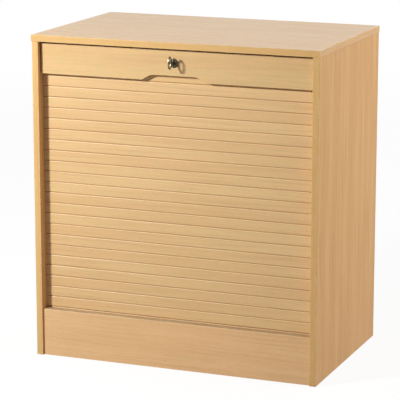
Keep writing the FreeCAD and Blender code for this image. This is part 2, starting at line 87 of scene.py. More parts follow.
class BareFaces(Enum):
    """Which faces of a board show its core in place of the print."""

    NONE = "none"
    EDGES_OF_UPRIGHT = "edges of a board that stands across X"
    EDGES_OF_FLAT = "edges of a board that lies flat"
    EDGES_OF_FRONT = "edges of a board that stands across Y"
    REAR = "the face to the wall"


class NodeBench:
    """Adds and joins the nodes of one tree."""

    def __init__(self, tree: bpy.types.NodeTree) -> None:
        """Take up a tree."""
        self.tree = tree

    def add(
        self, kind: str, feeds: Optional[Mapping[Union[int, str], Feed]] = None, **settings: object
    ) -> Node:
        """Add a node.

        Args:
            kind: The node's type.
            feeds: What its inputs are linked or set to, by number or name.
            settings: Values for the node's own properties.

        Returns:
            The new node.
        """
        node = self.tree.nodes.new(kind)
        for key, value in settings.items():
            setattr(node, key, value)
        for key, value in (feeds or {}).items():
            self.feed(node.inputs[key], value)
        return node

    def feed(self, target: Socket, value: Feed) -> None:
        """Give an input a link or a constant.

        Args:
            target: The input.
            value: An output to link, a number, a name, a colour or a vector.
        """
        if isinstance(value, Socket):
            self.tree.links.new(value, target)
        elif target.type == "RGBA":
            target.default_value = (*value, 1.0)
        else:
            target.default_value = value

    def calc(self, operation: str, *values: Feed) -> Socket:
        """Work out a number by a math node, from its inputs in order."""
        return self.add("ShaderNodeMath", dict(enumerate(values)), operation=operation).outputs[0]

    def fold(self, operation: str, values: Sequence[Socket]) -> Socket:
        """Work out one number from several, two at a time."""
        return reduce(lambda first, second: self.calc(operation, first, second), values)


class Wiring(NodeBench):
    """The shader nodes of one material."""

    def __init__(self, name: str) -> None:
        """Start a material with its output, its surface and the place on the piece.

        Args:
            name: Name of the material.
        """
        self.material = bpy.data.materials.new(name)
        self.material.use_nodes = True
        super().__init__(self.material.node_tree)
        self.tree.nodes.clear()
        self.surface = self.add("ShaderNodeBsdfPrincipled")
        self.output = self.add("ShaderNodeOutputMaterial")
        self.feed(self.output.inputs["Surface"], self.surface.outputs["BSDF"])
        spot = self.add("ShaderNodeTexCoord")
        self.place, self.facing = spot.outputs["Object"], spot.outputs["Normal"]

    def split(self, vector: Socket) -> list[Socket]:
        """Take a vector apart into its three numbers."""
        return list(self.add("ShaderNodeSeparateXYZ", {0: vector}).outputs)

    def ramp(
        self, value: Feed, low: float, high: float, start: float = 0.0, end: float = 1.0
    ) -> Socket:
        """Map a number smoothly from one span to another.

        Args:
            value: The number.
            low: Where the result is start.
            high: Where the result is end.
            start: Result at low.
            end: Result at high.

        Returns:
            The mapped number.
        """
        spans = {"Value": value, "From Min": low, "From Max": high, "To Min": start, "To Max": end}
        node = self.add("ShaderNodeMapRange", spans, interpolation_type="SMOOTHSTEP")
        return node.outputs["Result"]

    def blend(self, share: Feed, first: Feed, second: Feed) -> Socket:
        """Mix two colours, the first at share 0 and the second at share 1."""
        mix = self.add("ShaderNodeMix", {0: share, 6: first, 7: second}, data_type="RGBA")
        return mix.outputs[2]

    def noise(self, place: Socket, scale: float, detail: float, flat: bool = False) -> Socket:
        """Add a cloudy pattern.

        Args:
            place: Where the pattern is read.
            scale: Clouds per unit of place.
            detail: How many finer layers it has.
            flat: Whether only the first two coordinates count.

        Returns:
            A number about 0.5.
        """
        feeds = {"Vector": place, "Scale": scale, "Detail": detail}
        noise = self.add("ShaderNodeTexNoise", feeds, noise_dimensions="2D" if flat else "3D")
        return noise.outputs[0]

    def cells(self, place: Socket, scale: float, flat: bool = False) -> Node:
        """Add a pattern of cells, with a colour for each and the distance to its middle."""
        feeds = {"Vector": place, "Scale": scale}
        return self.add("ShaderNodeTexVoronoi", feeds, voronoi_dimensions="2D" if flat else "3D")

    def coat(
        self, colour: Socket, rough: Socket, height: Socket, depth: float, strength: float,
        constants: Mapping[str, float],
    ) -> Paint:
        """Give the surface its colour, gloss and small relief.

        Args:
            colour: Its colour.
            rough: Its roughness.
            height: The pattern of its relief.
            depth: How deep the relief goes, in metres.
            strength: How much of the relief shows.
            constants: Other inputs of the surface that are the same all over.

        Returns:
            The finished material.
        """
        relief = {"Height": height, "Distance": depth, "Strength": strength}
        normal = self.add("ShaderNodeBump", relief).outputs["Normal"]
        feeds = {"Base Color": colour, "Roughness": rough, "Normal": normal, **constants}
        for name, value in feeds.items():
            self.feed(self.surface.inputs[name], value)
        return self.material


@dataclass(frozen=True)
class Streaks:
    """A pattern drawn out along the grain: how often it repeats in a metre, and where it shows."""

    along: float
    across: float
    detail: float = 1.0
    span: Point = (0.0, 1.0)


@dataclass(frozen=True)
class BeechPrint:
    """Satin beech print on boards, edge bands and slats, with bare core where a board is cut."""

    name: str
    run: GrainRun = GrainRun.SIDEWAYS
    seed: float = 0.0
    bare: BareFaces = BareFaces.NONE
    pale: Colour = (0.750, 0.492, 0.228)
    deep: Colour = (0.695, 0.425, 0.190)
    streak: Colour = (0.600, 0.350, 0.155)
    fleck: Colour = (0.400, 0.215, 0.085)
    warm: Colour = (0.790, 0.440, 0.205)
    figure: float = 0.6
    patches: float = 0.35
    rough: float = 0.34
    shine: float = 0.5
    refraction: float = 1.46
    pore_depth: float = 0.12 * MM
    pore_strength: float = 0.35
    tone_name: str = ""
    seed_shift: Point = (1.37, 0.61)
    tone_shift: Point = (5.3, 2.9)
    drift: Streaks = Streaks(2.4, 7.0)
    drift_reach: float = 16.0 * MM
    broad: Streaks = Streaks(1.1, 24.0, 2.0, (0.32, 0.68))
    patch: Streaks = Streaks(22.0, 130.0, 1.0, (0.42, 0.66))
    lines: Streaks = Streaks(4.0, 190.0, 3.0, (0.44, 0.76))
    line_share: float = 0.6
    fibre: Streaks = Streaks(30.0, 1700.0, 2.0, (0.48, 0.85))
    fibre_share: float = 0.28
    rays: Streaks = Streaks(105.0, 900.0, span=(0.10, 0.34))
    ray_choice: Point = (0.60, 0.66)
    ray_share: float = 0.30
    ray_dip: float = -0.8
    gloss_span: Point = (0.25, 0.80)
    gloss_swing: Point = (-0.04, 0.08)
    worn: Colour = (0.800, 0.630, 0.400)
    wear_box: tuple = ()
    wear_reach: Point = (0.4 * MM, 2.4 * MM)
    wear_scale: float = 46.0
    wear_detail: float = 3.0
    wear_span: Point = (0.40, 0.66)
    wear_share: float = 0.45
    wear_rough: float = 0.14
    core_pale: Colour = (0.560, 0.410, 0.240)
    core_dark: Colour = (0.300, 0.195, 0.100)
    core_turn: Point = (0.4, 0.6)
    core_scale: float = 330.0
    core_chips: float = 0.6
    core_relief: float = 3.0
    core_clouds: float = 16.0
    core_detail: float = 5.0
    core_span: Point = (0.32, 0.68)
    core_rough: float = 0.45

    def lay(self, wiring: Wiring) -> Sequence[Socket]:
        """Lay the print round the piece as foil is laid.

        Args:
            wiring: The material's nodes.

        Returns:
            The distances along and across the grain, in metres.
        """
        x, y, z = wiring.split(wiring.place)
        if self.run is GrainRun.UPRIGHT:
            laid = z, wiring.calc("ADD", x, y)
        elif self.run is GrainRun.SIDEWAYS:
            laid = x, wiring.calc("ADD", y, z)
        else:
            laid = wiring.calc("ADD", x, y), z
        laid = [wiring.calc("ADD", way, self.seed * by) for way, by in zip(laid, self.seed_shift)]
        if self.tone_name:
            tone = wiring.add("ShaderNodeAttribute", attribute_name=self.tone_name).outputs["Fac"]
            shifts = zip(laid, self.tone_shift)
            laid = [wiring.calc("MULTIPLY_ADD", tone, by, way) for way, by in shifts]
        drift = self.clouds(wiring, laid, self.drift)
        return laid[0], wiring.calc("MULTIPLY_ADD", drift, self.drift_reach, laid[1])

    def stretched(self, wiring: Wiring, laid: Sequence[Socket], kind: Streaks) -> Socket:
        """Scale the two distances apart, so that clouds become streaks."""
        ways = (wiring.calc("MULTIPLY", *pair) for pair in zip(laid, (kind.along, kind.across)))
        return wiring.add("ShaderNodeCombineXYZ", dict(enumerate(ways))).outputs[0]

    def clouds(self, wiring: Wiring, laid: Sequence[Socket], kind: Streaks) -> Socket:
        """Add one kind of streaks."""
        return wiring.noise(self.stretched(wiring, laid, kind), 1.0, kind.detail, flat=True)

    def ray_flecks(self, wiring: Wiring, laid: Sequence[Socket]) -> Socket:
        """Add the short dashes of beech, of which only some cells hold one.

        Args:
            wiring: The material's nodes.
            laid: The distances along and across the grain.

        Returns:
            1 on a dash and 0 beside it.
        """
        cells = wiring.cells(self.stretched(wiring, laid, self.rays), 1.0, flat=True)
        chosen = wiring.ramp(cells.outputs["Color"], *self.ray_choice)
        dash = wiring.ramp(cells.outputs["Distance"], *self.rays.span, 1.0, 0.0)
        return wiring.calc("MULTIPLY", dash, chosen)

    def wear(self, wiring: Wiring) -> Socket:
        """Find the worn rim of a box-shaped piece.

        Args:
            wiring: The material's nodes.

        Returns:
            1 on the box's edges, falling to 0 a few millimetres in, broken up by a noise.
        """
        inset = []
        for way, low, high in zip(wiring.split(wiring.place), *self.wear_box):
            away = wiring.calc("ABSOLUTE", wiring.calc("SUBTRACT", way, (low + high) / 2))
            inset.append(wiring.calc("SUBTRACT", (high - low) / 2, away))
        total, least, most = (wiring.fold(name, inset) for name in ("ADD", "MINIMUM", "MAXIMUM"))
        second = wiring.calc("SUBTRACT", wiring.calc("SUBTRACT", total, least), most)
        rim = wiring.ramp(second, *self.wear_reach, 1.0, 0.0)
        noise = wiring.noise(wiring.place, self.wear_scale, self.wear_detail)
        return wiring.calc("MULTIPLY", rim, wiring.ramp(noise, *self.wear_span))

    def bare_mask(self, wiring: Wiring) -> Socket:
        """Find the faces that show the board's core.

        Args:
            wiring: The material's nodes.

        Returns:
            1 on the core and 0 on the print.
        """
        x, y, z = wiring.split(wiring.facing)
        if self.bare is BareFaces.REAR:
            return wiring.ramp(y, *self.core_turn)
        thin = {BareFaces.EDGES_OF_UPRIGHT: x, BareFaces.EDGES_OF_FRONT: y}.get(self.bare, z)
        return wiring.ramp(wiring.calc("ABSOLUTE", thin), *self.core_turn, 1.0, 0.0)

    def build(self) -> Paint:
        """Wire the material.

        Returns:
            The finished material.
        """
        wiring = Wiring(self.name)
        laid = self.lay(wiring)
        kinds = self.broad, self.patch, self.lines, self.fibre
        broad, patch, lines, fibre = (self.clouds(wiring, laid, kind) for kind in kinds)
        ray = self.ray_flecks(wiring, laid)
        ends = 0.5 - self.figure / 2, 0.5 + self.figure / 2
        colour = wiring.blend(wiring.ramp(broad, *self.broad.span, *ends), self.pale, self.deep)
        for pattern, kind, share, tint in (
            (patch, self.patch, self.patches, self.warm),
            (lines, self.lines, self.line_share * self.figure, self.streak),
            (fibre, self.fibre, self.fibre_share, self.streak),
        ):
            colour = wiring.blend(wiring.ramp(pattern, *kind.span, 0.0, share), colour, tint)
        colour = wiring.blend(wiring.calc("MULTIPLY", ray, self.ray_share), colour, self.fleck)
        swing = (self.rough + more for more in self.gloss_swing)
        rough = wiring.ramp(lines, *self.gloss_span, *swing)
        height = wiring.calc("MULTIPLY_ADD", ray, self.ray_dip, fibre)
        if self.wear_box:
            rim = self.wear(wiring)
            colour = wiring.blend(wiring.calc("MULTIPLY", rim, self.wear_share), colour, self.worn)
            rough = wiring.calc("MULTIPLY_ADD", rim, self.wear_rough, rough)
        if self.bare is not BareFaces.NONE:
            mask = self.bare_mask(wiring)
            chips = wiring.cells(wiring.place, self.core_scale)
            noise = wiring.noise(wiring.place, self.core_clouds, self.core_detail)
            cloud = wiring.ramp(noise, *self.core_span, 0.0, 1.0 - self.core_chips)
            share = wiring.calc("MULTIPLY_ADD", chips.outputs["Color"], self.core_chips, cloud)
            core = wiring.blend(share, self.core_dark, self.core_pale)
            colour = wiring.blend(mask, colour, core)
            rough = wiring.calc("MULTIPLY_ADD", mask, self.core_rough, rough)
            bumps = wiring.calc("MULTIPLY", mask, chips.outputs["Distance"])
            height = wiring.calc("MULTIPLY_ADD", bumps, self.core_relief, height)
        constants = {"IOR": self.refraction, "Specular IOR Level": self.shine}
        return wiring.coat(colour, rough, height, self.pore_depth, self.pore_strength, constants)


@dataclass(frozen=True)
class PlatedMetal:
    """Plated metal with cloudy gloss, fine rub marks and a faint tint that varies."""

    name: str
    bright: Colour
    dull: Colour
    smooth: float
    rough: float
    spangle: float = 0.0
    cloud_scale: float = 210.0
    cloud_detail: float = 4.0
    tone_span: Point = (0.30, 0.72)
    gloss_span: Point = (0.25, 0.80)
    flake_scale: float = 900.0
    rub_scale: Spot = (2600.0, 180.0, 420.0)
    rub_detail: float = 2.0
    rub_depth: float = 0.02 * MM
    rub_strength: float = 0.25

    def build(self) -> Paint:
        """Wire the material.

        Returns:
            The finished material.
        """
        wiring = Wiring(self.name)
        drawn = wiring.add("ShaderNodeMapping", {"Vector": wiring.place, "Scale": self.rub_scale})
        cloud = wiring.noise(wiring.place, self.cloud_scale, self.cloud_detail)
        rub = wiring.noise(drawn.outputs["Vector"], 1.0, self.rub_detail)
        tone = wiring.ramp(cloud, *self.tone_span)
        if self.spangle:
            flake = wiring.cells(wiring.place, self.flake_scale).outputs["Color"]
            tone = wiring.calc("MULTIPLY_ADD", flake, self.spangle, tone)
        half = (self.rough - self.smooth) / 2
        gloss = wiring.ramp(cloud, *self.gloss_span, self.smooth, self.smooth + half)
        rough = wiring.calc("MULTIPLY_ADD", rub, half, gloss)
        colour = wiring.blend(tone, self.bright, self.dull)
        return wiring.coat(colour, rough, rub, self.rub_depth, self.rub_strength, {"Metallic": 1.0})


@dataclass(frozen=True)
class RawBeech:
    """Unfinished turned beech, as on dowels."""

    name: str
    pale: Colour = (0.680, 0.480, 0.270)
    deep: Colour = (0.500, 0.310, 0.150)
    pore_scale: float = 1500.0
    pore_detail: float = 3.0
    pore_span: Point = (0.52, 0.80)
    pore_share: float = 0.5
    pore_depth: float = 0.1 * MM
    pore_strength: float = 0.4
    ring_scale: float = 320.0
    ring_detail: float = 2.0
    ring_span: Point = (0.35, 0.70)
    gloss_span: Point = (0.2, 0.8)
    gloss: Point = (0.62, 0.80)

    def build(self) -> Paint:
        """Wire the material.

        Returns:
            The finished material.
        """
        wiring = Wiring(self.name)
        pores = wiring.noise(wiring.place, self.pore_scale, self.pore_detail)
        rings = wiring.noise(wiring.place, self.ring_scale, self.ring_detail)
        colour = wiring.blend(wiring.ramp(rings, *self.ring_span), self.pale, self.deep)
        share = wiring.ramp(pores, *self.pore_span, 0.0, self.pore_share)
        colour = wiring.blend(share, colour, self.deep)
        rough = wiring.ramp(pores, *self.gloss_span, *self.gloss)
        return wiring.coat(colour, rough, pores, self.pore_depth, self.pore_strength, {})


class Finishes:
    """The finishes that several pieces share."""

    def __init__(self) -> None:
        """Build the shared materials."""
        zinc = PlatedMetal("zinc_plate", (0.60, 0.61, 0.63), (0.40, 0.41, 0.43), 0.30, 0.50, 0.35)
        # Painted reflection: the rosette's and plug's chrome is given a dark, olive base colour
        # that stands in for reflections of dark surroundings, not the metal's own brightness.
        chrome = PlatedMetal("lock_chrome", (0.125, 0.114, 0.074), (0.052, 0.047, 0.029), 0.14, 0.3)
        # Painted reflection: the key's nickel is given a dark base colour that stands in for
        # reflections of dark surroundings, not the metal's own brightness.
        painted_dark_nickel = PlatedMetal("key_nickel", (0.300, 0.265, 0.185), (0.150, 0.125, 0.075), 0.2, 0.38)
        self.zinc, self.chrome, self.painted_dark_nickel = zinc.build(), chrome.build(), painted_dark_nickel.build()
        self.raw_beech = RawBeech("dowel_beech").build()


def stand(name: str, data: bpy.types.ID) -> Piece:
    """Put an object into the scene, at the origin.

    Args:
        name: Name of the object.
        data: Its mesh, curve, lamp or camera.

    Returns:
        The object.
    """
    obj = bpy.data.objects.new(name, data)
    bpy.context.scene.collection.objects.link(obj)
    return obj


def shade(mesh: bpy.types.Mesh, smooth_angle: float) -> None:
    """Shade a mesh smooth, with crisp edges where it turns by more than an angle in degrees."""
    mesh.polygons.foreach_set("use_smooth", [True] * len(mesh.polygons))
    mesh.set_sharp_from_angle(angle=math.radians(smooth_angle))


def make_piece(name: str, bm: Shape, paint: Paint, smooth_angle: float = CRISP_ANGLE) -> Piece:
    """Turn a working mesh into a finished object.

    Args:
        name: Name of the object.
        bm: The working mesh, which is freed.
        paint: Its finish.
        smooth_angle: Edges sharper than this, in degrees, stay crisp.

    Returns:
        The object.
    """
    bmesh.ops.remove_doubles(bm, verts=bm.verts, dist=SAME_SPOT)
    bmesh.ops.recalc_face_normals(bm, faces=bm.faces)
    mesh = bpy.data.meshes.new(name)
    bm.to_mesh(mesh)
    bm.free()
    mesh.materials.append(paint)
    shade(mesh, smooth_angle)
    return stand(name, mesh)


def made(obj: Piece) -> bpy.types.Mesh:
    """Take a plain mesh of an object, as its modifiers or its curve leave it.

    Args:
        obj: The object.

    Returns:
        The mesh.
    """
    bpy.context.view_layer.update()
    seen = obj.evaluated_get(bpy.context.evaluated_depsgraph_get())
    return bpy.data.meshes.new_from_object(seen)


def settle(obj: Piece) -> None:
    """Replace an object's mesh by what its modifiers make of it, and remove them."""
    obj.data = made(obj)
    obj.modifiers.clear()


def combine(obj: Piece, operation: str, *shapes: Shape, smooth_angle: float = CRISP_ANGLE) -> None:
    """Cut an object by shapes, join them to it, or keep only what they share.

    Args:
        obj: The object that is changed.
        operation: DIFFERENCE, UNION or INTERSECT.
        shapes: The working meshes, which are used up.
        smooth_angle: Edges sharper than this, in degrees, stay crisp.
    """
    for shape in shapes:
        tool = make_piece("tool", shape, obj.data.materials[0])
        modifier = obj.modifiers.new("combine", "BOOLEAN")
        modifier.operation, modifier.solver, modifier.object = operation, "EXACT", tool
        settle(obj)
        bpy.data.objects.remove(tool)
    shade(obj.data, smooth_angle)


def arc(centre: Point, radii: Point, turns: Iterable[float]) -> list[Point]:
    """Follow an ellipse.

    Args:
        centre: Its middle.
        radii: Its half width and half height.
        turns: Angles, in degrees.

    Returns:
        The point at each angle.
    """
    angles = [math.radians(turn) for turn in turns]
    return [
        (centre[0] + radii[0] * math.cos(angle), centre[1] + radii[1] * math.sin(angle))
        for angle in angles
    ]


def full_turn(steps: int) -> list[float]:
    """Divide a full turn into even angles, in degrees."""
    return [360.0 * step / steps for step in range(steps)]


def bridge(bm: Shape, low: Ring, high: Ring) -> None:
    """Join two rings of corners by a band of faces.

    Args:
        bm: The working mesh.
        low: The first ring; one corner all round makes a fan.
        high: The second ring.
    """
    for step in range(len(low)):
        after = (step + 1) % len(low)
        corners = list(dict.fromkeys((low[step], low[after], high[after], high[step])))
        if len(corners) > 2:
            bm.faces.new(corners)


def lathe(profile: Sequence[Point], sides: int, closed: bool = False) -> Shape:
    """Turn a profile round Z.

    Args:
        profile: Radius and height of each point, in metres.
        sides: Sides of the round.
        closed: Whether the last point joins the first, as on a ring.

    Returns:
        The working mesh.
    """
    bm = bmesh.new()
    rings = []
    for radius, height in profile:
        if radius < ON_AXIS:
            rings.append([bm.verts.new((0.0, 0.0, height))] * sides)
        else:
            circle = arc((0.0, 0.0), (radius, radius), full_turn(sides))
            rings.append([bm.verts.new((*spot, height)) for spot in circle])
    if closed:
        rings.append(rings[0])
    for low, high in zip(rings, rings[1:]):
        bridge(bm, low, high)
    return bm


def rod(radius: float, bottom: float, top: float) -> list[Point]:
    """Draw the profile of a plain rod."""
    return [(0.0, bottom), (radius, bottom), (radius, top), (0.0, top)]


def thread(core: float, crest: float, start: float, end: float, pitch: float) -> list[Point]:
    """Draw the profile of a thread downwards from a head.

    Args:
        core: Radius between the turns.
        crest: Radius on the turns.
        start: Depth where it starts.
        end: Depth that its turns stay above.
        pitch: From one turn to the next.

    Returns:
        Radius and height of each point.
    """
    points = []
    while start + pitch < end:
        points.append((core, -start))
        points += [(crest, -start - pitch * share) for share in CREST]
        start += pitch
    return points + [(core, -start)]


def slab(low: Sequence[float], high: Sequence[float], bevel: float = 0.0) -> Shape:
    """Make a straight block.

    Args:
        low: Its lowest corner.
        high: Its highest corner.
        bevel: How far its edges are eased.

    Returns:
        The working mesh.
    """
    bm = bmesh.new()
    middle, size = (Vector(low) + Vector(high)) / 2, Vector(high) - Vector(low)
    place = Matrix.Translation(middle) @ Matrix.Diagonal((*size, 1.0))
    bmesh.ops.create_cube(bm, size=1.0, matrix=place)
    if bevel:
        edges = list(bm.edges)
        bmesh.ops.bevel(bm, geom=edges, offset=bevel, segments=2, profile=0.5, affect="EDGES")
    return bm


@dataclass(frozen=True)
class DriverCross:
    """The cross in a screw's or cam's face that a driver turns."""

    width: float
    slot: float
    depth: float
    proud: float = 0.5 * MM

    def bars(self) -> list[Shape]:
        """Make the two bars that cut it into a face at height 0.

        Returns:
            The working meshes.
        """
        wide, thin = self.width / 2, self.slot / 2
        sizes = (wide, thin), (thin, wide)
        return [slab((-x, -y, -self.depth), (x, y, self.proud)) for x, y in sizes]


def solids_of(node: str) -> list[Box]:
    """Find the separate solids of a CAD node.

    Args:
        node: Name of the node.

    Returns:
        The lowest and highest corner of each solid, from left to right, front to back and up.
    """
    bm = bmesh.new()
    bm.from_mesh(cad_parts[node].data)
    bmesh.ops.remove_doubles(bm, verts=bm.verts, dist=SAME_CAD_SPOT)
    unseen = set(bm.verts)
    boxes = []
    while unseen:
        reach = [unseen.pop()]
        found = []
        while reach:
            vert = reach.pop()
            found.append(vert.co.copy())
            for edge in vert.link_edges:
                other = edge.other_vert(vert)
                if other in unseen:
                    unseen.remove(other)
                    reach.append(other)
        boxes.append(tuple(Vector(map(pick, zip(*found))) for pick in (min, max)))
    bm.free()
    return sorted(boxes, key=lambda box: tuple(round(value, 4) for value in box[0]))


def is_upright(low: Vector, high: Vector) -> bool:
    """Tell whether a solid is taller than wide."""
    return high.z - low.z > high.x - low.x


def outward(low: Vector, high: Vector) -> Vector:
    """Point from the cabinet's middle to the side that a solid is on."""
    return RIGHT if low.x + high.x > 0 else -RIGHT


def seat(origin: Vector, head: Vector, along: Vector) -> Matrix:
    """Place a fitting by its origin, where its head faces and where its own X points."""
    turned = Matrix((along, head.cross(along), head)).transposed()
    return Matrix.Translation(origin) @ turned.to_4x4()


def seat_on(low: Vector, high: Vector, head: Vector, along: Vector) -> Matrix:
    """Place a fitting in the middle of the side of a box that its head faces.

    Args:
        low: Lowest corner of the box.
        high: Highest corner of the box.
        head: Where the head faces, along an axis.
        along: Where the fitting's own X points.

    Returns:
        The matrix of its place.
    """
    shares = ((1.0 + way) / 2 for way in head)
    origin = Vector(a + (b - a) * share for a, b, share in zip(low, high, shares))
    return seat(origin, head, along)


def dress(node: str, paint: Paint) -> None:
    """Give a CAD node a finish in place of its plain one.

    Args:
        node: Name of the node.
        paint: The finish.
    """
    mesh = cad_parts[node].data
    mesh.materials.clear()
    mesh.materials.append(paint)
    log.info("dressed %s in %s", node, paint.name)


def show(piece: Piece, body: str, slot: str, *nodes: str) -> None:
    """Attach a finished piece to its body, and hide the CAD nodes that it stands for.

    Args:
        piece: The piece.
        body: The body that it moves with.
        slot: Not used.
        nodes: The CAD nodes that it stands for.
    """
    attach(piece, body)
    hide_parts(*nodes)
    log.info("built %s for %s on %s", piece.name, ", ".join(nodes), body)


class Repeats(NodeBench):
    """A Geometry Nodes tree that repeats one shape, with named inputs."""

    def __init__(
        self, name: str, paint: Paint, inputs: Mapping[str, tuple[str, object]]
    ) -> None:
        """Start a tree with its geometry input and output and its named inputs.

        Args:
            name: Name of the tree.
            paint: Finish of all copies.
            inputs: What each named input takes, such as Int or Vector, and its value.
        """
        super().__init__(bpy.data.node_groups.new(name, "GeometryNodeTree"))
        new_socket = self.tree.interface.new_socket
        for way in ("INPUT", "OUTPUT"):
            new_socket("Geometry", in_out=way, socket_type="NodeSocketGeometry")
        self.values: dict[str, object] = {}
        for label, (kind, value) in {**inputs, "Finish": ("Material", paint)}.items():
            socket = new_socket(label, in_out="INPUT", socket_type="NodeSocket" + kind)
            self.values[socket.identifier] = value
        self.given = self.add("NodeGroupInput").outputs

    def copies(self, points: Socket, shape: Socket, euler: Socket, scale: Feed) -> Socket:
        """Put a copy of a shape on each point.

        Args:
            points: The points.
            shape: The shape.
            euler: How each copy is turned.
            scale: The size of each copy.

        Returns:
            The copies.
        """
        spin = self.add("FunctionNodeEulerToRotation", {"Euler": euler}).outputs["Rotation"]
        feeds = {"Points": points, "Instance": shape, "Rotation": spin, "Scale": scale}
        return self.add("GeometryNodeInstanceOnPoints", feeds).outputs["Instances"]

    def run(self, obj: Piece, copies: Socket) -> None:
        """End the tree, run it on an object and keep the result as its plain mesh.

        Args:
            obj: The object.
            copies: What the tree has made.
        """
        real = self.add("GeometryNodeRealizeInstances", {"Geometry": copies})
        feeds = {"Geometry": real.outputs["Geometry"], "Material": self.given["Finish"]}
        painted = self.add("GeometryNodeSetMaterial", feeds)
        self.add("NodeGroupOutput", {"Geometry": painted.outputs["Geometry"]})
        modifier = obj.modifiers.new(self.tree.name, "NODES")
        modifier.node_group = self.tree
        for identifier, value in self.values.items():
            modifier[identifier] = value
        settle(obj)

    @classmethod
    def install(cls, one: Piece, body: str, slot: str, aim: Aim) -> None:
        """Put a copy of one fitting in the place of each solid of its CAD node.

        Args:
            one: The fitting, named as its node without the s, its head at the origin facing +Z.
            body: The body that the set moves with.
            slot: Handed on to show, which does not use it.
            aim: Where the head and the fitting's own X point, for a solid's box.
        """
        name, node = one.name + "_set", one.name + "s"
        places = [seat_on(low, high, *aim(low, high)) for low, high in solids_of(node)]
        mesh = bpy.data.meshes.new(name)
        mesh.from_pydata([place.translation for place in places], [], [])
        turns = mesh.attributes.new("turn", "FLOAT_VECTOR", "POINT")
        for point, place in zip(turns.data, places):
            point.vector = place.to_euler()
        obj = stand(name, mesh)
        tree = cls("seats_of_" + name, one.data.materials[0], {"Fitting": ("Object", one)})
        shape = tree.add("GeometryNodeObjectInfo", {"Object": tree.given["Fitting"]})
        turn = tree.add(
            "GeometryNodeInputNamedAttribute", {"Name": "turn"}, data_type="FLOAT_VECTOR"
        )
        points, shapes = tree.given["Geometry"], shape.outputs["Geometry"]
        tree.run(obj, tree.copies(points, shapes, turn.outputs["Attribute"], (1.0, 1.0, 1.0)))
        bpy.data.objects.remove(one)
        show(obj, body, slot, node)


@dataclass
class Carcass:
    """The fixed boards, their edge bands and the two backs."""

    band_pale: Colour = (0.755, 0.474, 0.186)
    band_deep: Colour = (0.685, 0.392, 0.136)
    band_rough: float = 0.32
    band_shine: float = 0.36
    plinth_pale: Colour = (0.850, 0.520, 0.260)
    plinth_deep: Colour = (0.790, 0.455, 0.218)
    top_figure: float = 0.5
    top_rough: float = 0.30
    top_shine: float = 0.5
    # Painted shade: the side panels get a darker, more orange copy of the print, standing in for
    # the warm shade that falls on them.
    side_shaded_pale: Colour = (0.750, 0.453, 0.198)
    side_shaded_deep: Colour = (0.695, 0.391, 0.165)
    side_figure: float = 1.2
    side_rough: float = 0.50
    side_shine: float = 0.28
    hardboard_pale: Colour = (0.365, 0.226, 0.120)
    hardboard_dark: Colour = (0.268, 0.154, 0.076)
    hardboard_scale: float = 900.0
    hardboard_relief: float = 0.8

    def dress(self) -> None:
        """Give every fixed board its own cut of the print."""
        flat, upright = BareFaces.EDGES_OF_FLAT, BareFaces.EDGES_OF_UPRIGHT
        boards = [
            ("top_panel", GrainRun.SIDEWAYS, flat),
            ("left_side_panel", GrainRun.UPRIGHT, upright),
            ("right_side_panel", GrainRun.UPRIGHT, upright),
            ("deck_panel", GrainRun.SIDEWAYS, flat),
            ("shelf", GrainRun.SIDEWAYS, flat),
            ("base_stretcher", GrainRun.SIDEWAYS, BareFaces.NONE),
            ("back_panel", GrainRun.UPRIGHT, BareFaces.REAR),
            ("inner_back_panel", GrainRun.UPRIGHT, BareFaces.REAR),
        ]
        for number, (node, run, bare) in enumerate(boards, 1):
            finish = BeechPrint(
                "beech_" + node, run, float(number), bare,
                figure=self.side_figure, rough=self.side_rough, shine=self.side_shine,
            )
            if node == "top_panel":
                finish = replace(
                    finish, figure=self.top_figure, rough=self.top_rough, shine=self.top_shine
                )
            # The side panels take the darker, more orange copy of the print: painted shade.
            elif bare is upright:
                finish = replace(finish, pale=self.side_shaded_pale, deep=self.side_shaded_deep)
            elif bare is BareFaces.REAR:
                finish = replace(
                    finish, core_pale=self.hardboard_pale, core_dark=self.hardboard_dark,
                    core_scale=self.hardboard_scale, core_relief=self.hardboard_relief,
                )
            dress(node, finish.build())
        plinth_print = BeechPrint(
            "beech_plinth", seed=11.0, bare=BareFaces.EDGES_OF_FRONT,
            pale=self.plinth_pale, deep=self.plinth_deep,
        )
        dress("plinth", plinth_print.build())
        self.dress_bands()

    def dress_bands(self) -> None:
        """Give the edge bands their slightly warmer and smoother print."""
        bands = [
            ("top_edge_bands", GrainRun.ROUND_THE_TOP),
            ("left_side_edge_band", GrainRun.UPRIGHT),
            ("right_side_edge_band", GrainRun.UPRIGHT),
            ("deck_panel_edge_band", GrainRun.SIDEWAYS),
            ("shelf_edge_band", GrainRun.SIDEWAYS),
        ]
        for number, (node, run) in enumerate(bands, 20):
            finish = BeechPrint(
                "band_" + node, run, float(number), pale=self.band_pale, deep=self.band_deep,
                rough=self.band_rough, shine=self.band_shine, wear_box=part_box(node),
            )
            dress(node, finish.build())


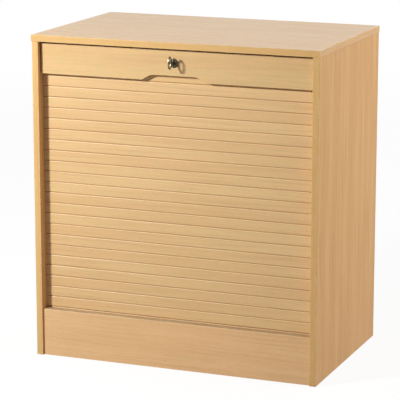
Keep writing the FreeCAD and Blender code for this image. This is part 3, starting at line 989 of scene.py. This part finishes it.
@dataclass
class Curtain:
    """The linked slats, which gather behind the plinth as the lead rail comes down."""

    body_height: float = 25.5 * MM
    upper_round: float = 2.1 * MM
    lower_round: float = 1.9 * MM
    back_bevel: float = 1.5 * MM
    face_margin: float = 0.4 * MM
    bead_radius: float = 2.0 * MM
    bead_height: float = 2.8 * MM
    bead_turns: tuple[int, ...] = (-35, -10, 15, 40, 65, 90)
    neck_share: float = 0.45
    neck_rise: float = 0.893
    socket_gap: float = 0.3 * MM
    socket_lip: float = 3.2 * MM
    socket_flare: float = 4.0 * MM
    socket_slope: float = 1.2
    socket_turns: tuple[int, ...] = (-20, 10, 40, 70, 90)
    bend_tilt: float = 13.0
    bend_end_gap: float = 0.4 * MM
    tone_name: str = "slat_tone"
    tone_seed: int = 7

    def section(self, thickness: float, pitch: float) -> list[Point]:
        """Draw one slat's section.

        Args:
            thickness: From the front face to the back face.
            pitch: From one slat to the next.

        Returns:
            Depth behind the front face and height above the slat's base, for each point in turn.
        """
        middle = thickness / 2
        upper, lower = self.upper_round, self.lower_round
        back, top = self.back_bevel, self.body_height
        lip, wide = self.socket_lip / 2, self.bead_radius + self.socket_gap
        socket = [
            (self.socket_flare / 2, 0.0),
            (lip, self.bead_height - (wide - lip) * self.socket_slope),
            *arc((0.0, self.bead_height), (wide, wide), self.socket_turns),
        ]
        ball, centre = self.bead_radius, pitch + self.bead_height
        neck = ball * self.neck_share
        bead = [
            (neck, top), (neck, centre - ball * self.neck_rise),
            *arc((0.0, centre), (ball, ball), self.bead_turns),
        ]
        return [
            (0.0, lower + self.face_margin), *arc((lower, lower), (-lower, -lower), QUARTER),
            *((middle - y, z) for y, z in socket),
            *((middle + y, z) for y, z in reversed(socket[:-1])),
            (thickness - back, 0.0), (thickness, back),
            (thickness, top - back), (thickness - back, top),
            *((middle + y, z) for y, z in bead),
            *((middle - y, z) for y, z in reversed(bead[:-1])),
            *arc((upper, top - upper), (-upper, upper), reversed(QUARTER)),
            (0.0, top - upper - self.face_margin),
        ]

    def build(self) -> None:
        """Make one slat, hang the others below it by their beads and show the curtain."""
        names = sorted(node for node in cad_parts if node.startswith("slat_"))
        low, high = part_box(names[0])
        pitch = low.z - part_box(names[1])[0].z
        bead = Vector((0.0, (low.y + high.y) / 2, low.z + pitch + self.bead_height))
        outline = self.section(high.y - low.y, pitch)
        bm = bmesh.new()
        ends = [
            [bm.verts.new((x, low.y + y - bead.y, low.z + z - bead.z)) for y, z in outline]
            for x in (low.x, high.x)
        ]
        for end in ends:
            bm.faces.new(end)
        bridge(bm, *ends)
        finish = BeechPrint(
            "beech_slats", seed=31.0, figure=0.8, rough=0.42, shine=0.7, tone_name=self.tone_name
        )
        curtain = make_piece("slat_curtain", bm, finish.build())
        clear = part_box("right_side_panel")[0].x - self.bend_end_gap
        self.hang(curtain, len(names), bead, pitch, 1.0 - clear / high.x)
        show(curtain, "carcass", "beech_slat", *names)
        self.gather(curtain)

    def hang(self, curtain: Piece, count: int, bead: Vector, pitch: float, trim: float) -> None:
        """Repeat a slat downwards, with a tone of its own for each and the last one tilted.

        Args:
            curtain: The object with one slat, its bead at the origin.
            count: How many slats there are.
            bead: Where the highest slat's bead is.
            pitch: From one slat to the next.
            trim: Share of its length that the last slat loses.
        """
        tree = Repeats("rows_of_slats", curtain.data.materials[0], {
            "Slat count": ("Int", count),
            "First slat": ("Vector", tuple(bead)),
            "Slat step": ("Vector", (0.0, 0.0, -pitch)),
            "Last tilt": ("Float", math.radians(self.bend_tilt)),
            "Last trim": ("Float", trim),
            "Tone seed": ("Int", self.tone_seed),
        })
        given = tree.given
        ends = {"Start Location": given["First slat"], "Offset": given["Slat step"]}
        line = tree.add("GeometryNodeMeshLine", {"Count": given["Slat count"], **ends})
        index = tree.add("GeometryNodeInputIndex").outputs["Index"]
        last = tree.calc("GREATER_THAN", tree.calc("ADD", index, 1.5), given["Slat count"])
        tilt = tree.calc("MULTIPLY", last, given["Last tilt"])
        loss = tree.calc("MULTIPLY", last, given["Last trim"])
        turn = tree.add("ShaderNodeCombineXYZ", {0: tilt}).outputs[0]
        length = tree.calc("SUBTRACT", 1.0, loss)
        size = tree.add("ShaderNodeCombineXYZ", {0: length, 1: 1.0, 2: 1.0}).outputs[0]
        copies = tree.copies(line.outputs["Mesh"], given["Geometry"], turn, size)
        tone = tree.add("FunctionNodeRandomValue", {"Seed": given["Tone seed"]}).outputs[1]
        feeds = {"Geometry": copies, "Name": self.tone_name, "Value": tone}
        toned = tree.add("GeometryNodeStoreNamedAttribute", feeds, domain="INSTANCE")
        tree.run(curtain, toned.outputs["Geometry"])

    def gather(self, curtain: Piece) -> None:
        """Give the curtain a mesh of its own.

        Args:
            curtain: The curtain.
        """
        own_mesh(curtain)


@dataclass
class LeadRail:
    """The moving rail with the finger grip, the carrier board behind it and their screws."""

    finishes: Finishes
    head_radius: float = 3.5 * MM
    head_height: float = 2.4 * MM
    head_ease: float = 0.15 * MM
    head_flat: float = 0.94
    neck_extra: float = 0.2 * MM
    neck_length: float = 0.4 * MM
    shank_radius: float = 1.72 * MM
    core_radius: float = 1.25 * MM
    thread_pitch: float = 1.2 * MM
    tip_length: float = 1.6 * MM
    cross: DriverCross = DriverCross(3.8 * MM, 0.8 * MM, 1.3 * MM)
    rail_pale: Colour = (0.700, 0.470, 0.210)
    rail_deep: Colour = (0.650, 0.406, 0.175)

    def dress(self) -> None:
        """Give the rail and the carrier their print."""
        rail = BeechPrint(
            "beech_lead_rail", seed=41.0, pale=self.rail_pale, deep=self.rail_deep,
            figure=0.8, rough=0.42, shine=0.55, wear_box=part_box("lead_rail"),
        )
        dress("lead_rail", rail.build())
        dress("carrier_board", BeechPrint("beech_carrier", seed=42.0).build())

    def screw(self, name: str, length: float) -> Piece:
        """Make one countersunk screw, head at the origin facing +Z.

        Args:
            name: Name of the object.
            length: From the head's face to the tip.

        Returns:
            The screw.
        """
        core, head, tip = self.core_radius, self.head_height, length - self.tip_length
        profile = [
            (0.0, 0.0), (self.head_radius * self.head_flat, 0.0),
            (self.head_radius, -self.head_ease), (core + self.neck_extra, -head),
            *thread(core, self.shank_radius, head + self.neck_length, tip, self.thread_pitch),
            (0.0, -length),
        ]
        one = make_piece(name, lathe(profile, sides=20), self.finishes.zinc)
        combine(one, "DIFFERENCE", *self.cross.bars())
        return one

    def build_screws(self) -> None:
        """Put the screws of the rail and of the lock's keeper in their holes."""
        sets = ("rail_screw", "shutter_rail", BACK), ("keeper_screw", "carcass", -UP)
        for name, body, head in sets:
            low, high = solids_of(name + "s")[-1]
            one = self.screw(name, abs(head.dot(high - low)))
            Repeats.install(one, body, "zinc_steel", lambda *box, head=head: (head, RIGHT))


@dataclass
class JointFittings:
    """What holds the boards together: cam connectors, their bolts, dowels and the shelf's pins."""

    finishes: Finishes
    cam_radius: float = 7.2 * MM
    cam_depth: float = 12.4 * MM
    cam_dip: float = 0.25 * MM
    cam_cross: DriverCross = DriverCross(7.0 * MM, 1.6 * MM, 2.0 * MM, 1.0 * MM)
    cam_slot_low: Spot = (0.0, -2.9 * MM, -14.0 * MM)
    cam_slot_high: Spot = (9.0 * MM, 2.9 * MM, -5.1 * MM)
    bolt_radius: float = 2.5 * MM
    bolt_thread: float = 23.4 * MM
    bolt_tip: float = 0.8 * MM
    bolt_pitch: float = 1.0 * MM
    dowel_radius: float = 4.0 * MM
    dowel_flutes: int = 16
    dowel_dip: float = 0.93
    dowel_end: float = 0.78
    dowel_ease: float = 1.0 * MM
    dowel_angle: float = 10.0
    pin_radius: float = 2.5 * MM
    pin_ease: float = 0.5 * MM
    pin_collar: float = 4.4 * MM
    pin_flat: float = 6.0 * MM

    def build(self) -> None:
        """Build every set in order."""
        for build in (self.build_cams, self.build_bolts, self.build_dowels, self.build_pins):
            build()

    def build_cams(self) -> None:
        """The round cams, each with a cross for the driver and a slot for its bolt."""
        radius, depth, dip = self.cam_radius, self.cam_depth, self.cam_dip
        profile = [
            (0.0, 0.0), (radius - 1.5 * MM, 0.0), (radius - 1.3 * MM, -dip),
            (radius - 0.9 * MM, -dip), (radius - 0.7 * MM, 0.0), (radius - 0.2 * MM, 0.0),
            (radius, -dip), (radius, 0.3 * MM - depth), (radius - 0.4 * MM, -depth), (0.0, -depth),
        ]
        one = make_piece("cam_connector", lathe(profile, sides=36), self.finishes.zinc)
        slot = slab(self.cam_slot_low, self.cam_slot_high)
        combine(one, "DIFFERENCE", *self.cam_cross.bars(), slot)
        Repeats.install(one, "carcass", "zinc_steel", self.aim_cam)

    def aim_cam(self, low: Vector, high: Vector) -> tuple[Vector, Vector]:
        """Point a cam's face inwards from a side panel, or downwards from a board between them.

        Args:
            low: Lowest corner of the cam's box.
            high: Highest corner of the cam's box.

        Returns:
            Where the face and its slot point.
        """
        out = outward(low, high)
        in_side = abs(low.x + high.x) / 2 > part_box("deck_panel")[1].x
        return (-out, UP) if in_side else (-UP, out)

    def build_bolts(self) -> None:
        """The bolts that the cams pull on: a ball head, a waist, a collar and a threaded end."""
        low, high = solids_of("cam_bolts")[0]
        length, r = max(high - low), self.bolt_radius
        profile = [
            (0.0, 0.0), (r * 0.7, 0.0), (r, -0.8 * MM), (r, -2.6 * MM), (r * 0.55, -3.6 * MM),
            (r * 0.55, -7.0 * MM), (r, -8.0 * MM), (r, -21.0 * MM), (r * 0.9, -21.4 * MM),
            (r * 0.9, -23.0 * MM),
            *thread(r * 0.74, r, self.bolt_thread, length - self.bolt_tip, self.bolt_pitch),
            (r * 0.5, -length), (0.0, -length),
        ]
        one = make_piece("cam_bolt", lathe(profile, sides=18), self.finishes.zinc)
        Repeats.install(one, "carcass", "zinc_steel", lambda low, high: (
            (-UP, RIGHT) if is_upright(low, high) else (-outward(low, high), UP)
        ))

    def build_dowels(self) -> None:
        """The fluted dowels, their ends eased."""
        low, high = solids_of("dowels")[0]
        length, turns = max(high - low), full_turn(2 * self.dowel_flutes)
        end, ease = self.dowel_end, self.dowel_ease
        bm = bmesh.new()
        rings = []
        for height, share in ((-length, end), (ease - length, 1.0), (-ease, 1.0), (0.0, end)):
            wide = self.dowel_radius * share
            dips, crests = (arc((0.0, 0.0), (r, r), turns) for r in (wide * self.dowel_dip, wide))
            ring = (pair[step % 2] for step, pair in enumerate(zip(dips, crests)))
            rings.append([bm.verts.new((*spot, height)) for spot in ring])
        for low, high in zip(rings, rings[1:]):
            bridge(bm, low, high)
        for ring in (rings[0], rings[-1]):
            bm.faces.new(ring)
        one = make_piece("dowel", bm, self.finishes.raw_beech, self.dowel_angle)
        Repeats.install(one, "carcass", "dowel_beech", lambda low, high: (
            (UP, RIGHT) if is_upright(low, high) else (RIGHT, BACK)
        ))

    def build_pins(self) -> None:
        """The shelf's pins: a collar against the side panel and a flat for the shelf to rest on."""
        low, high = solids_of("shelf_pins")[0]
        length = high.x - low.x
        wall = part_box("left_side_panel")[1].x - high.x
        r, collar, ease, wide = self.pin_radius, self.pin_collar, self.pin_ease, self.pin_flat
        profile = [
            (0.0, 0.0), (r - ease, 0.0), (r, -ease), (r, wall + 1.2 * MM),
            (collar - 0.2 * MM, wall + 1.2 * MM), (collar, wall + 1.0 * MM),
            (collar, wall + 0.05 * MM), (r, wall + 0.05 * MM),
            (r, 0.6 * MM - length), (r - ease, -length), (0.0, -length),
        ]
        one = make_piece("shelf_pin", lathe(profile, sides=28), self.finishes.zinc)
        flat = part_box("shelf")[0].z - (low.z + high.z) / 2
        cut = slab((-wide, flat, wall + 1.25 * MM), (wide, wide, 2.0 * MM))
        combine(one, "DIFFERENCE", cut)
        Repeats.install(one, "carcass", "zinc_steel", lambda low, high: (
            -outward(low, high), outward(low, high).cross(UP)
        ))


@dataclass
class CylinderLock:
    """The cylinder lock in the lead rail, and its key."""

    finishes: Finishes
    rosette_radius: float = 11.2 * MM
    rosette_thickness: float = 2.0 * MM
    dome_width: float = 1.8 * MM
    barrel_radius: float = 9.0 * MM
    barrel_plain: float = 12.0 * MM
    bore_radius: float = 6.1 * MM
    thread_pitch: float = 1.0 * MM
    thread_depth: float = 0.5 * MM
    plug_radius: float = 5.8 * MM
    square_half: float = 3.0 * MM
    square_root: float = 2.0 * MM
    square_ease: float = 0.2 * MM
    hole_radius: float = 1.9 * MM
    hole_depth: float = 9.0 * MM
    keyway_width: float = 2.6 * MM
    keyway_height: float = 8.2 * MM
    keyway_depth: float = 20.3 * MM
    nut_flats: float = 24.0 * MM
    nut_gap: float = 0.3 * MM
    nut_angle: float = 25.0
    cut_past: float = 1.0 * MM
    screw_head: float = 4.6 * MM
    screw_head_height: float = 2.0 * MM
    screw_shank: float = 1.6 * MM
    screw_cross: DriverCross = DriverCross(4.4 * MM, 0.9 * MM, 1.2 * MM)
    key_thickness: float = 2.0 * MM
    key_ease: float = 0.35 * MM
    key_tip: float = 1.2 * MM
    key_angle: float = 40.0
    blade_half: float = 3.8 * MM
    blade_length: float = 20.0 * MM
    shoulder_half: float = 5.3 * MM
    shoulder_length: float = 3.5 * MM
    neck_half: float = 3.0 * MM
    bow_rim: float = 4.4 * MM
    bow_half_width: float = 10.0 * MM
    bow_steps: int = 64
    eye_steps: int = 56
    notch_depth: float = 1.5 * MM
    notch_pitch: float = 4.0 * MM
    notch_count: int = 4

    def axis_place(self, y: float) -> Matrix:
        """Stand a turned shape on the lock's axis.

        Args:
            y: Where the shape's own height 0 goes; its +Z points to the front.

        Returns:
            The matrix of its place.
        """
        low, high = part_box("lock_housing")
        middle = (low + high) / 2
        return seat(Vector((middle.x, y, middle.z)), -BACK, RIGHT)

    def turned(self, profile: Sequence[Point], y: float, sides: int, closed: bool = False) -> Shape:
        """Turn a profile on the lock's axis.

        Args:
            profile: Radius and height of each point.
            y: Where the profile's height 0 goes.
            sides: Sides of the round.
            closed: Whether the last point joins the first.

        Returns:
            The working mesh, in place.
        """
        bm = lathe(profile, sides, closed)
        bm.transform(self.axis_place(y))
        return bm

    def build(self) -> None:
        """Build the lock's pieces in order."""
        self.build_housing()
        self.build_plug()
        self.build_nut()
        self.build_cam_screw()
        for node in ("lock_cam", "lock_keeper"):
            dress(node, self.finishes.zinc)
        self.build_key()

    def build_housing(self) -> None:
        """The domed rosette and the threaded barrel behind it."""
        low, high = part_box("lock_housing")
        length = high.y - low.y
        rim, bore, barrel = self.rosette_radius, self.bore_radius, self.barrel_radius
        root, pitch, dome = barrel - self.thread_depth, self.thread_pitch, self.dome_width
        back, foot = length - self.rosette_thickness, length - self.rosette_thickness + 0.3 * MM
        depth = back - self.barrel_plain
        profile = [
            (bore, 0.0), (bore, length - 0.4 * MM), (bore + 0.4 * MM, length),
            (bore + 1.3 * MM, length), (bore + 1.6 * MM, length - 0.3 * MM),
            *arc((rim - dome, foot), (dome, length - foot), reversed(QUARTER)),
            (rim, back), (barrel, back), (barrel, depth),
        ]
        while depth - pitch > 0.8 * MM:
            profile += [(root, depth - pitch * 0.45), (barrel, depth - pitch * 0.9)]
            depth -= pitch
            profile.append((barrel, depth))
        profile.append((root, 0.0))
        bm = self.turned(profile, high.y, sides=56, closed=True)
        rosette = make_piece("lock_rosette", bm, self.finishes.chrome)
        show(rosette, "shutter_rail", "lock_chrome", "lock_housing")

    def build_plug(self) -> None:
        """The plug with its eased rim and keyway, and the square that turns the cam."""
        low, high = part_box("lock_plug")
        cam_low, cam_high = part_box("lock_cam")
        length, radius, axis = cam_low.y - low.y, self.plug_radius, (low + high) / 2
        profile = [
            (0.0, 0.0), (radius - 0.2 * MM, 0.0), (radius, 0.2 * MM), (radius, length - 0.5 * MM),
            (radius - 0.15 * MM, length - 0.2 * MM), (radius - 0.45 * MM, length), (0.0, length),
        ]
        bm = self.turned(profile, cam_low.y, sides=48)
        plug = make_piece("lock_cylinder", bm, self.finishes.chrome)
        half, root = self.square_half, cam_low.y - self.square_root
        square = slab(
            (axis.x - half, root, axis.z - half), (axis.x + half, cam_high.y, axis.z + half),
            self.square_ease,
        )
        combine(plug, "UNION", square)
        wide, tall, deep = self.keyway_width / 2, self.keyway_height / 2, self.keyway_depth
        keyway = slab(
            (axis.x - wide, low.y - self.cut_past, axis.z - tall),
            (axis.x + wide, low.y + deep, axis.z + tall),
        )
        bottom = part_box("cam_screw")[0].y + self.hole_depth
        hole = self.turned(rod(self.hole_radius, 0.0, self.hole_depth), bottom, sides=20)
        combine(plug, "DIFFERENCE", keyway, hole)
        show(plug, "lock_core", "lock_chrome", "lock_plug")

    def build_nut(self) -> None:
        """The six-sided nut, its corners turned off on the open face."""
        low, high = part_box("lock_nut")
        thickness, corner = high.y - low.y, self.nut_flats / math.sqrt(3)
        hexagon = lathe(rod(corner, 0.0, thickness), sides=6)
        hexagon.transform(Matrix.Rotation(math.radians(90), 4, "Z"))
        hexagon.transform(self.axis_place(high.y))
        nut = make_piece("lock_nut_hex", hexagon, self.finishes.zinc)
        profile = [
            (0.0, 0.0), (corner - 1.4 * MM, 0.0), (corner, 0.8 * MM), (corner, thickness),
            (0.0, thickness),
        ]
        bore = rod(self.barrel_radius + self.nut_gap, -self.cut_past, thickness + self.cut_past)
        combine(nut, "INTERSECT", self.turned(profile, high.y, sides=72))
        hole = self.turned(bore, high.y, sides=48)
        combine(nut, "DIFFERENCE", hole, smooth_angle=self.nut_angle)
        show(nut, "shutter_rail", "zinc_steel", "lock_nut")

    def build_cam_screw(self) -> None:
        """The pan-head screw that holds the cam, with a cross for the driver."""
        low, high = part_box("cam_screw")
        head, shank, height = self.screw_head, self.screw_shank, self.screw_head_height
        length = high.y - low.y
        profile = [
            (0.0, 0.0), (head * 0.55, -0.1 * MM), (head * 0.85, -0.6 * MM), (head, -1.4 * MM),
            (head, -height), (shank, -height), (shank, 0.5 * MM - length), (0.0, -length),
        ]
        shapes = [lathe(profile, sides=32), *self.screw_cross.bars()]
        for shape in shapes:
            shape.transform(seat_on(low, high, BACK, RIGHT))
        screw = make_piece("cam_screw_pan", shapes[0], self.finishes.zinc)
        combine(screw, "DIFFERENCE", *shapes[1:])
        show(screw, "lock_core", "zinc_steel", "cam_screw")

    def key_outline(self, low: Vector, high: Vector, axis_z: float) -> list[list[Point]]:
        """Draw the key from the side.

        Args:
            low: Lowest corner of the key's box.
            high: Highest corner of the key's box.
            axis_z: Height of the lock's axis.

        Returns:
            Two closed lines of depth and height: the outline and the eye of the bow.
        """
        face = high.y - self.blade_length
        stop, blade, tip = face - self.shoulder_length, self.blade_half, self.key_tip
        upper = [
            (high.y, blade - tip), (high.y - tip, blade), (face, blade),
            (face, self.shoulder_half), (stop, self.shoulder_half), (stop, self.neck_half),
        ]
        lower = [(y, -z) for y, z in reversed(upper)]
        notches = []
        for number in reversed(range(self.notch_count)):
            y, cut = high.y - (number + 1) * self.notch_pitch, self.notch_depth
            notches += [(y - cut, -blade), (y, cut - blade), (y + cut, -blade)]
        tall = (high.z - low.z) / 2
        rise = (low.z + high.z) / 2 - axis_z
        middle, wide, rim = (low.y + self.bow_half_width, rise), self.bow_half_width, self.bow_rim
        start = math.degrees(math.asin((self.neck_half - rise) / tall))
        sweep = 360.0 - math.degrees(math.asin((self.neck_half + rise) / tall)) - start
        turns = [start + sweep * step / self.bow_steps for step in range(self.bow_steps + 1)]
        line = upper + arc(middle, (wide, tall), turns) + lower[:4] + notches + lower[4:]
        eye = arc(middle, (wide - rim, tall - rim), full_turn(self.eye_steps))
        return [[(y, axis_z + z) for y, z in points] for points in (line, eye)]

    def build_key(self) -> None:
        """The key, stamped from sheet with eased edges."""
        lock_low, lock_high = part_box("lock_housing")
        curve = bpy.data.curves.new("key_stamping", "CURVE")
        curve.dimensions, curve.fill_mode = "2D", "BOTH"
        curve.bevel_depth, curve.bevel_resolution = self.key_ease, 2
        curve.offset = -curve.bevel_depth
        curve.extrude = self.key_thickness / 2 - curve.bevel_depth
        for points in self.key_outline(*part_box("key"), (lock_low.z + lock_high.z) / 2):
            spline = curve.splines.new("POLY")
            spline.points.add(len(points) - 1)
            for point, (y, z) in zip(spline.points, points):
                point.co = (y, z, 0.0, 1.0)
            spline.use_cyclic_u = True
        blank = stand("key_blank", curve)
        bm = bmesh.new()
        bm.from_mesh(made(blank))
        bpy.data.objects.remove(blank)
        bm.transform(Matrix((UP, RIGHT, BACK)).to_4x4())
        key = make_piece("lock_key", bm, self.finishes.painted_dark_nickel, self.key_angle)
        show(key, "key_body", "key_nickel", "key")


@dataclass(frozen=True)
class Lamp:
    """A soft square lamp: where it hangs and looks, its side in metres, its watts and colour."""

    name: str
    place: Spot
    target: Spot
    size: float
    energy: float
    tint: Colour

    def hang(self) -> None:
        """Hang the lamp and point it at its target."""
        data = bpy.data.lights.new(self.name, "AREA")
        data.size, data.energy, data.color = self.size, self.energy, self.tint
        lamp = stand(self.name, data)
        lamp.location = self.place
        aim = Vector(self.target) - Vector(self.place)
        lamp.rotation_euler = aim.to_track_quat("-Z", "Y").to_euler()


@dataclass
class Studio:
    """Floor, soft light, and the camera at the photograph's view."""

    camera_place: Spot = (1.7833, -4.5297, 1.4513)
    camera_azimuth: float = 21.67
    camera_elevation: float = 12.50
    focal_pixels: float = 2033.0
    image_pixels: float = 400.0
    sensor: float = 36.0
    white: Colour = (1.0, 1.0, 1.0)
    floor_white: Colour = (0.95, 0.95, 0.95)
    floor_bounce: Colour = (0.29, 0.29, 0.29)
    floor_half: float = 60.0
    floor_rough: float = 0.9
    floor_glow: float = 0.90
    glow_reach: Point = (1.2, 5.0)
    sky_light: float = 0.15
    lamps: tuple[Lamp, ...] = (
        Lamp("key_light", (-1.2, -1.72, 1.45), (0.45, -0.2, 0.1), 0.28, 53.5, (0.945, 0.995, 1.0)),
        Lamp("side_light", (2.4, 0.55, 1.4), (0.36, 0.0, 0.45), 2.4, 46.5, (1.0, 0.93, 0.80)),
        Lamp("left_light", (-3.0, 0.6, 1.3), (-0.36, 0.1, 0.40), 1.6, 42.0, (0.90, 0.97, 1.0)),
        Lamp("rear_light", (1.0, 3.2, 2.4), (0.0, 0.24, 0.40), 1.6, 43.0, (0.90, 0.97, 1.0)),
    )

    def build(self) -> None:
        """Set up everything round the object."""
        bpy.context.scene.view_settings.view_transform = "Standard"
        self.build_camera()
        self.build_floor()
        self.build_sky()
        for lamp in self.lamps:
            lamp.hang()

    def build_camera(self) -> None:
        """Place the camera."""
        data = bpy.data.cameras.new("photo_view")
        data.sensor_width = self.sensor
        data.lens = self.sensor * self.focal_pixels / self.image_pixels
        camera = stand("photo_view", data)
        camera.location = self.camera_place
        turn = math.radians(self.camera_azimuth)
        camera.rotation_euler = (math.radians(90 - self.camera_elevation), 0.0, turn)
        bpy.context.scene.camera = camera

    def seen_directly(self, bench: NodeBench) -> Socket:
        """Tell what the camera sees, directly or in metal, from what lights the object.

        Args:
            bench: The nodes that ask.

        Returns:
            1 for a ray of the camera or in a gloss, 0 for scattered light.
        """
        path = bench.add("ShaderNodeLightPath").outputs
        rays = "Is Camera Ray", "Is Glossy Ray", "Is Transmission Ray"
        return bench.fold("MAXIMUM", [path[name] for name in rays])

    def build_floor(self) -> None:
        """A wide white floor that keeps a soft shadow."""
        bm = bmesh.new()
        bmesh.ops.create_grid(bm, x_segments=2, y_segments=2, size=self.floor_half)
        wiring = Wiring("studio_floor")
        seen = self.seen_directly(wiring)
        feeds = {
            "Base Color": wiring.blend(seen, self.floor_bounce, self.floor_white),
            "Roughness": self.floor_rough,
            "Specular IOR Level": 0.0,
        }
        for name, value in feeds.items():
            wiring.feed(wiring.surface.inputs[name], value)
        length = wiring.add("ShaderNodeVectorMath", {0: wiring.place}, operation="LENGTH")
        share = wiring.ramp(length.outputs["Value"], *self.glow_reach, self.floor_glow, 1.0)
        glow = wiring.add("ShaderNodeEmission", {"Color": self.white}).outputs[0]
        mixed = wiring.add("ShaderNodeMixShader", {
            0: wiring.calc("MULTIPLY", seen, share), 1: wiring.surface.outputs["BSDF"], 2: glow,
        })
        wiring.feed(wiring.output.inputs["Surface"], mixed.outputs[0])
        make_piece("floor", bm, wiring.material)

    def build_sky(self) -> None:
        """An even pale sky that shows as white."""
        world = bpy.data.worlds.new("studio_sky")
        world.use_nodes = True
        bench = NodeBench(world.node_tree)
        back = next(node for node in bench.tree.nodes if node.type == "BACKGROUND")
        bench.feed(back.inputs["Color"], self.white)
        span = {"Value": self.seen_directly(bench), "To Min": self.sky_light, "To Max": 1.0}
        strength = bench.add("ShaderNodeMapRange", span).outputs["Result"]
        bench.feed(back.inputs["Strength"], strength)
        bpy.context.scene.world = world


def main() -> None:
    """Dress the cabinet, build what replaces plain solids, and set up the studio."""
    logging.basicConfig(level=logging.INFO, format="%(message)s")
    finishes = Finishes()
    Carcass().dress()
    Curtain().build()
    rail = LeadRail(finishes)
    rail.dress()
    rail.build_screws()
    JointFittings(finishes).build()
    CylinderLock(finishes).build()
    Studio().build()


if __name__ == "__main__":
    main()
